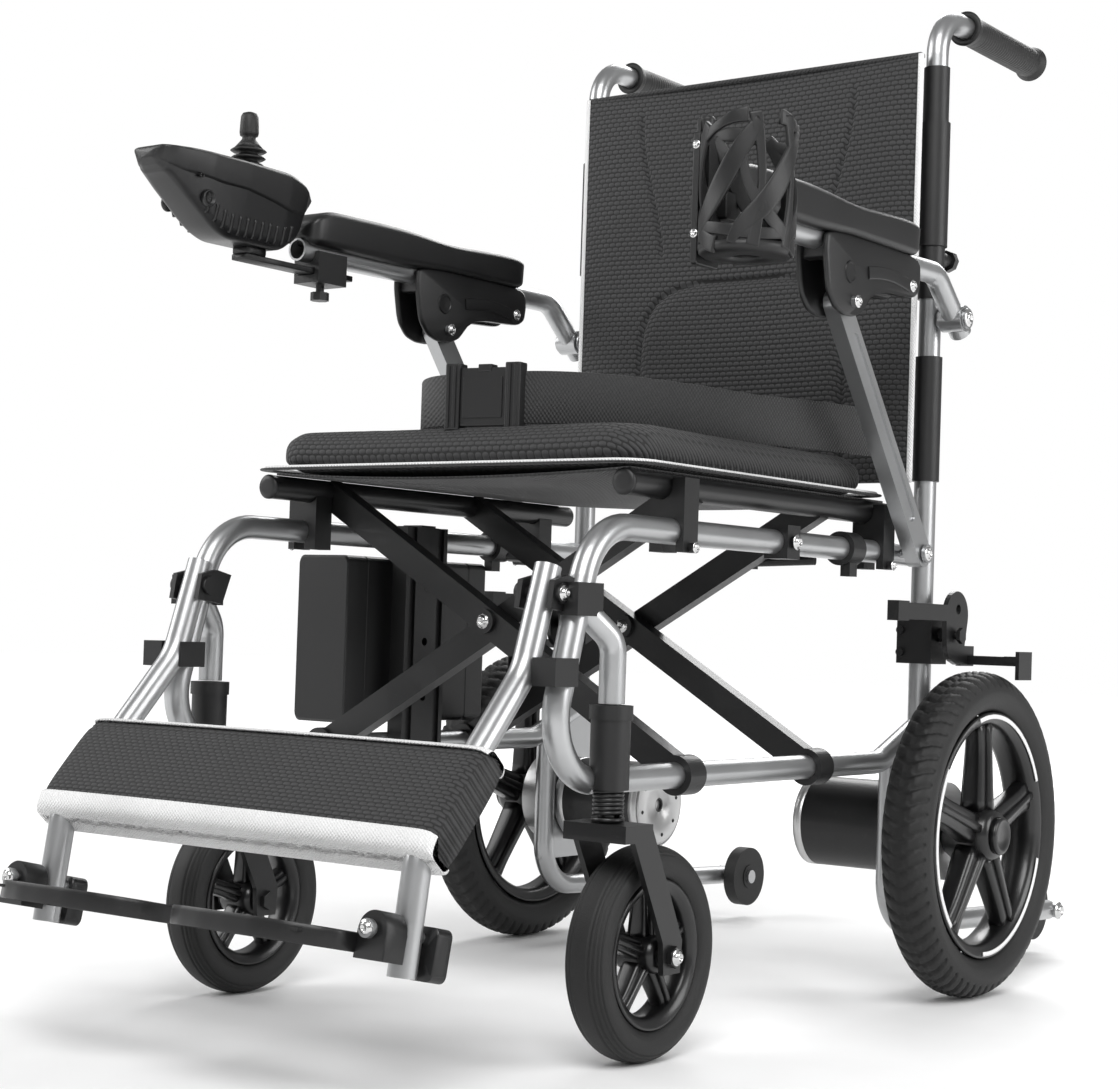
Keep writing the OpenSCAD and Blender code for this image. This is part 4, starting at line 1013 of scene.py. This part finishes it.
def cupCage(v):
    c, zb = np.array([v["x"], v["y"]]), v["floor"]
    sh = Shape()
    addLathe(sh, np.array([(0.6, 12), (0.6, 35), (3, 38.6), (9, 39.4), (9, 36.4), (5, 34),
                           (4, 12)]) * mm + np.array([zb, 0]), (c[0], c[1], 0), "z", 64)

    # a flat band that follows an angle and a height along its length, its width changing as it goes
    def band(ang, height, wide, n=60):
        t = np.linspace(0, 1, n)
        a, h, w = ang(t), height(t), wide(t)
        path = np.stack([c[0] + v["radius"] * np.cos(a), c[1] + v["radius"] * np.sin(a), zb + h], -1)
        radial = np.stack([np.cos(a), np.sin(a), 0 * a], -1)
        tan = np.gradient(path, axis=0)
        tan /= np.linalg.norm(tan, axis=1, keepdims=True)
        across = np.cross(tan, radial)
        sec = roundRect(1.0, 1.0, 0.16, 3)
        pts = (path[:, None] + across[:, None] * sec[None, :, :1] * w[:, None, None]
               + radial[:, None] * sec[None, :, 1:] * v["thick"])
        sh.tube(pts)

    rad = math.radians
    # swirls that climb round the cage and cross one another, thick in the middle
    for k in range(5):
        start = rad(-150 + 72 * k)
        band(lambda t: start + rad(105) * t ** 1.2, lambda t: 0.006 + 0.098 * t - 0.012 * np.sin(pi * t) ** 2,
             lambda t: 0.0065 + 0.0110 * np.sin(pi * np.clip(t * 0.92, 0, 1)) ** 0.8)
    for k in range(3):
        start = rad(-100 + 120 * k)
        band(lambda t: start - rad(85) * np.sin(t * pi / 2), lambda t: 0.006 + 0.070 * t ** 1.3,
             lambda t: 0.0140 - 0.0070 * t)
    # wavy rim, higher at the two sides of the open front, and a ring near the floor
    band(lambda t: rad(-20) + rad(320) * t, lambda t: 0.101 + 0.0075 * np.cos(4 * pi * t),
         lambda t: 0.0075 + 0.0045 * np.cos(4 * pi * t) ** 2, 120)
    band(lambda t: 2 * pi * t, lambda t: 0.018 + 0.004 * np.sin(4 * pi * t), lambda t: 0.0095 + 0 * t, 120)
    for a in (-52, -6, 60):
        band(lambda t: rad(a) + rad(10) * np.sin(pi * t), lambda t: 0.004 + 0.107 * t,
             lambda t: 0.0110 - 0.0045 * np.sin(pi * t))
    sh.build("cupCage", "blackPlastic", "armrest_l", ["cup_cage"], slot="black_plastic")
    # upright back plate, its clamp under the tube end, two screws and the knob on top
    plate = Shape()
    for x0, x1, y0, y1, z0, z1 in ((0.2375, 0.2435, -0.2290, -0.1945, 0.647, 0.756),
                                   (0.2430, 0.2480, -0.2200, -0.2000, 0.652, 0.762),
                                   (0.2340, 0.2380, -0.2190, -0.2060, 0.662, 0.770),
                                   (0.2215, 0.2570, -0.2065, -0.1835, 0.6865, 0.7095)):
        plate.tube(layers(boxOutline(y0, y1, z0, z1, 0.003, 5), (x0, x1), "x"))
    addLathe(plate, np.array([(756, 3), (756, 5.5), (769, 6.5), (771, 5), (771.5, 3)]) * mm, (0.2400, -0.2125, 0),
             "z", 20)
    smoothAngle(plate.build("cagePlate", "blackPlastic", "armrest_l", bevel=0.0008))
    knob = Shape()
    for z in (0.672, 0.745):
        boltHead(knob, (0.2405, -0.2290, z), "-y", 0.0026, 0.0018)
    knob.build("cageScrews", "brightSteel", "armrest_l")


cupCage(cageSet)


# bolts and bright parts
def armBracket(side, s):
    # smooth outline through given points, then two cheeks with a web between them
    pts = np.array([(-30, 710), (-32, 690), (-25, 655), (-12, 641), (4, 636.5), (22, 636.5), (36, 642), (47, 655),
                    (60, 663), (80, 667), (110, 668.5), (138, 670), (149, 677), (151.5, 690), (151, 703),
                    (142, 710)]) * mm
    yz = smoothOutline(pts, 120)
    sh = Shape()
    ax = chair["armX"]
    for inner, outer in ((-0.0172, -0.0108), (0.0108, 0.0172)):
        steps = (inner, inner + 0.0012, inner + 0.003, outer - 0.003, outer - 0.0012, outer)
        sh.tube(layers(yz, [s * (ax + x) for x in steps], "x", (0.955, 0.99, 1, 1, 0.99, 0.955)))
    for y0, y1, z0, z1 in ((-0.025, -0.011, 0.684, 0.709), (0.088, 0.144, 0.675, 0.700)):
        outline = boxOutline(y0, y1, z0, z1, 0.003, 4)
        sh.tube(layers(outline, [s * (ax + x) for x in (-0.012, 0.012)], "x"))
    # round boss with a recess, and a raised rib along the arm of the bracket
    for g in (1, -1):
        prof = [(0.0170, 0.0105), (0.0186, 0.0100), (0.0186, 0.0085), (0.0178, 0.0078), (0.0174, 0.0010)]
        addLathe(sh, [(g * s * a, b) for a, b in prof], (s * ax, 0.012, 0.676), "x", 32, loop=False)
        path = np.stack([np.full(12, s * (ax + g * 0.0172)), np.linspace(0.045, 0.125, 12),
                         0.680 + 0.004 * np.sin(np.linspace(0, pi, 12))], -1)
        sh.sweep(path, roundRect(0.003, 0.012, 0.0014, 4))
    smoothAngle(sh.build("armBracket_" + side, "padPlastic", "armrest_" + side, ["armrest_bracket_" + side],
                         slot="black_plastic"), 45)
    # bright sleeve between the cane and the armrest tube
    spacer = Shape()
    prof = [(0.0112, 0.0085), (0.0112, 0.0098), (0.0146, 0.0100), (0.0146, 0.0085)]
    addLathe(spacer, [(s * a, b) for a, b in prof], (s * chair["frameHalf"], 0.258, 0.667), "x", 40)
    spacer.build("armSpacer_" + side, "silverTube", "frame_" + side)


for side, s in sides:
    armBracket(side, s)


def bolts():
    groups = {}
    f = chair["frameHalf"]

    def put(body, place, axis, r=0.006, h=0.005):
        groups.setdefault(body, Shape())
        boltHead(groups[body], place, axis, r, h)

    for side, s in sides:
        o = "+x" if s > 0 else "-x"
        b = "frame_" + side
        put(b, (s * (chair["armX"] + 0.0153), 0.258, 0.667), o, 0.0060, 0.003)
        put(b, (s * (chair["armX"] + 0.0118), 0.192, 0.430), o, 0.0050, 0.003)
        put(b, (s * (f + 0.018), -0.024, 0.430), o, 0.005, 0.004)
        put(b, (s * (f + 0.0195), -0.192, 0.417), o, 0.0035, 0.0025)
        put(b, (s * (f + 0.0195), 0.158, 0.417), o, 0.0035, 0.0025)
        put(b, (s * (chair["hangX"] + 0.0212), -0.354, 0.374), o, 0.0045, 0.004)
        put(b, (s * (f + 0.013), 0.585, 0.050), o, 0.007, 0.005)
        put("armrest_" + side, (s * (chair["armX"] + 0.0170), 0.134, 0.681), o, 0.0042, 0.003)
        put("armrest_" + side, (s * (chair["armX"] - 0.0170), 0.134, 0.681), "-x" if s > 0 else "+x", 0.0042, 0.003)
        put("strut_" + side, (s * (chair["armX"] + 0.0218), 0.019, 0.650), o, 0.0042, 0.003)
        put("strut_" + side, (s * (chair["armX"] - 0.0218), 0.019, 0.650), "-x" if s > 0 else "+x", 0.0042, 0.003)
        put("swivel_" + side, (s * (chair["steerX"] + 0.0345), chair["casterY"], chair["casterR"]), o, 0.0050, 0.004)
        put("legrest_" + side, (s * 0.192, -0.5478, 0.1318), "-y", 0.0045, 0.003)
    for y in (-0.182, 0.036):
        put("cross_a", (0, y - 0.0020, 0.227 + 0.241 * 0.209 / 0.408), "-y", 0.0048, 0.004)
    for body, sh in groups.items():
        sh.build("bolts_" + body, "brightSteel", body)


bolts()


def motorTrim(side, s):
    c = (0, chair["rearY"], chair["rearR"])
    f = chair["frameHalf"]
    inner = f - 0.005 - 0.108
    ring = Shape()
    # bright end caps of the drive, the inner one with a raised flange
    for x0, x1, r in ((inner - 0.0002, inner + 0.0105, 0.0452), (f - 0.0175, f - 0.0055, 0.0452)):
        prof = [(s * x0, r - 0.003), (s * (x0 + 0.001), r), (s * (x1 - 0.001), r), (s * x1, r - 0.003),
                (s * x1, 0.030), (s * x0, 0.030)]
        addLathe(ring, prof, c, "x", 96)
    face = [(s * (inner + 0.003), 0.030), (s * (inner - 0.0002), 0.0425), (s * (inner - 0.0010), 0.040),
            (s * (inner - 0.0010), 0.008),
            (s * (inner + 0.006), 0.0065)]
    addLathe(ring, face, c, "x", 96, loop=False)
    ring.build("motorCaps_" + side, "castAlloy", "frame_" + side)
    screws = Shape()
    for k in range(8):
        a = k * pi / 4 + 0.2
        boltHead(screws, (s * (inner - 0.0010), c[1] + 0.033 * math.cos(a), c[2] + 0.033 * math.sin(a)),
                 "-x" if s > 0 else "+x", 0.0016, 0.001, 12)
    screws.build("motorScrews_" + side, "blackSteel", "frame_" + side)


for side, s in sides:
    motorTrim(side, s)
print("bright parts done")


# battery and footplates
batterySet = dict(x=(-0.2784, -0.2136), y=(-0.1284, 0.0888), z=(0.2472, 0.4108), corner=0.006)


def batteryCase(v):
    (x0, x1), (y0, y1), (z0, z1) = v["x"], v["y"], v["z"]
    # the lid's and the floor's seams are shallow grooves round the box
    steps = np.array([0, 0.002, 0.028, 0.0285, 0.0305, 0.031])
    inset = (0.97, 1, 1, 0.985, 0.985, 1)
    levels = np.concatenate([y0 + steps, y1 - steps[::-1]])
    sh = Shape()
    sh.tube(layers(boxOutline(x0, x1, z0, z1, v["corner"], 5), levels, "y", inset + inset[::-1]))
    obj = sh.build("batteryCase", "blackPlastic", "battery_pack", ["battery"], smooth=False, slot="black_plastic")
    smoothAngle(obj, 30)


batteryCase(batterySet)


def railPlugs():
    for s, body in ((-1, "cross_a"), (1, "cross_b")):
        sh = Shape()
        prof = [(-0.2535, 0.0085), (-0.2552, 0.0113), (-0.2575, 0.0113), (-0.2590, 0.0100), (-0.2594, 0.0060),
                (-0.2594, 0.0010)]
        addLathe(sh, prof, (s * 0.199, 0, 0.468), "y", 32, loop=False)
        sh.build("railPlug_" + ("r" if s < 0 else "l"), "padPlastic", body)


railPlugs()


footSet = dict(x=0.192, y=-0.502, z=0.122, lean=12.0, drop=0.004)


# outline of the plate in its own level frame, from the block inwards and back
def footplatePlate(side, s, v):
    out = np.array([(-12, -15), (-12, -56), (-22, -70), (-42, -84), (-66, -91), (-92, -92), (-120, -91), (-145, -86),
                    (-164, -76), (-176, -62), (-178, -44), (-176, -30), (-165, -26), (-120, -26), (-70, -25),
                    (-40, -24), (-28, -17)]) * mm
    xy = smoothOutline(out, 160)
    mid = np.array([-0.095, -0.058])
    top = -v["drop"]
    a = math.radians(-v["lean"])
    turn = np.array([[1, 0, 0], [0, math.cos(a), -math.sin(a)], [0, math.sin(a), math.cos(a)]])
    place = (turn, (s * v["x"], v["y"], v["z"]))
    # tray: outer wall up to a rounded lip, down inside to the floor, and a hollow underneath
    rows = [(0.10, -0.0052), (0.90, -0.0052), (0.935, -0.0046), (0.945, -0.0008), (0.955, 0.0002), (0.985, 0.0002),
            (0.998, -0.0008),
            (1.0, -0.0030), (0.995, -0.0125), (0.985, -0.0138), (0.955, -0.0138), (0.945, -0.0125), (0.94, -0.0085),
            (0.10, -0.0085)]
    ring = np.array([np.concatenate([(xy - mid) * q + mid, np.full((len(xy), 1), top + h)], 1) for q, h in rows])
    ring[:, :, 0] *= s
    sh = Shape()
    sh.ring(ring, at=place)
    # cross bars of the tread
    for i in range(8):
        x = -0.035 - i * 0.017
        path = np.stack([np.full(6, s * x), np.linspace(-0.082, -0.032, 6), np.full(6, top - 0.0046)], -1)
        if i == 7:
            path[:, 1] = np.linspace(-0.076, -0.034, 6)
        sh.sweep(path, roundRect(0.007, 0.0024, 0.0009, 3), at=place)
    # eye block in front of the tube with a rounded head, and the block behind it
    arc = np.radians(np.linspace(0, 180, 19))
    head = np.concatenate([[(0.0142, -0.0215), (0.0142, -0.001)], 0.0138 * np.stack([np.cos(arc), np.sin(arc)], -1),
                           [(-0.0142, -0.001), (-0.0142, -0.0215)]])
    back = roundRect(0.0258, 0.0395, 0.006, 6) + np.array([0.004, -0.011])
    for sec, ys in ((head, (-0.0398, -0.0388, -0.0172, -0.0162)), (back, (0.0142, 0.0152, 0.0308, 0.0318))):
        sh.tube(layers(sec * np.array([s, 1]), ys, "y", (0.94, 1, 1, 0.94)), at=place)
    smoothAngle(sh.build("footplate_" + side + "_tray", "padPlastic", "footplate_" + side, ["footplate_" + side],
                         slot="black_plastic"), 40)


for side, s in sides:
    footplatePlate(side, s, footSet)


# floor and light
def studio():
    floor = Shape()
    g = np.linspace(-1, 1, 3) * 12
    gx, gy = np.meshgrid(g, g, indexing="ij")
    floor.grid(np.stack([gx, gy, 0 * gx], -1))
    o = floor.build("floor", "silverTube", None, smooth=False)
    o.data.materials.clear()
    o.data.materials.append(finish("paleFloor", (0.92, 0.92, 0.92), 0.6, fine=60, bump=0.01, vary=0.01,
                                   roughVary=0.05))
    g = o.data.materials[0].node_tree
    # painted light: the floor glows, from nothing within 1.2 m of the middle up to 0.75 beyond 3.6 m
    pos = next(n for n in g.nodes if n.type == "TEX_COORD")
    far = g.nodes.new("ShaderNodeVectorMath")
    far.operation = "LENGTH"
    g.links.new(pos.outputs["Object"], far.inputs[0])
    paintedGlowRamp = g.nodes.new("ShaderNodeMapRange")
    for k, val in zip(("From Min", "From Max", "To Min", "To Max"), (1.2, 3.6, 0.0, 0.75)):
        paintedGlowRamp.inputs[k].default_value = val
    g.links.new(far.outputs["Value"], paintedGlowRamp.inputs["Value"])
    paintedGlowColour = g.nodes.new("ShaderNodeCombineColor")
    for k in range(3):
        g.links.new(paintedGlowRamp.outputs["Result"], paintedGlowColour.inputs[k])
    face = next(n for n in g.nodes if n.type == "BSDF_PRINCIPLED")
    g.links.new(paintedGlowColour.outputs[0], face.inputs["Emission Color"])
    face.inputs["Emission Strength"].default_value = 1.0
    world = bpy.data.worlds.new("studio")
    world.use_nodes = True
    w = world.node_tree
    seen = w.nodes["Background"]
    seen.inputs[0].default_value, seen.inputs[1].default_value = (1, 1, 1, 1), 1.0
    around = w.nodes.new("ShaderNodeBackground")
    around.inputs[0].default_value, around.inputs[1].default_value = (1, 1, 1, 1), 0.33
    path = w.nodes.new("ShaderNodeLightPath")
    mix = w.nodes.new("ShaderNodeMixShader")
    w.links.new(path.outputs["Is Camera Ray"], mix.inputs[0])
    w.links.new(around.outputs[0], mix.inputs[1])
    w.links.new(seen.outputs[0], mix.inputs[2])
    w.links.new(mix.outputs[0], w.nodes["World Output"].inputs[0])
    bpy.context.scene.world = world
    bpy.context.scene.view_settings.view_transform = "Standard"
    for name, place, size, power in (("keyLight", (1.6, -2.6, 3.2), 2.2, 120),
                                     ("fillLight", (-3.0, -1.6, 2.2), 2.2, 60),
                                     ("backLight", (-0.8, 3.0, 2.8), 2.2, 85), ("sideLight", (3.4, 0.8, 1.6), 1.8, 55)):
        data = bpy.data.lights.new(name, "AREA")
        data.shape, data.size, data.energy = "SQUARE", size, power
        light = bpy.data.objects.new(name, data)
        light.location = place
        light.rotation_euler = (Vector((0, 0, 0.45)) - Vector(place)).to_track_quat("-Z", "Y").to_euler()
        bpy.context.scene.collection.objects.link(light)


studio()
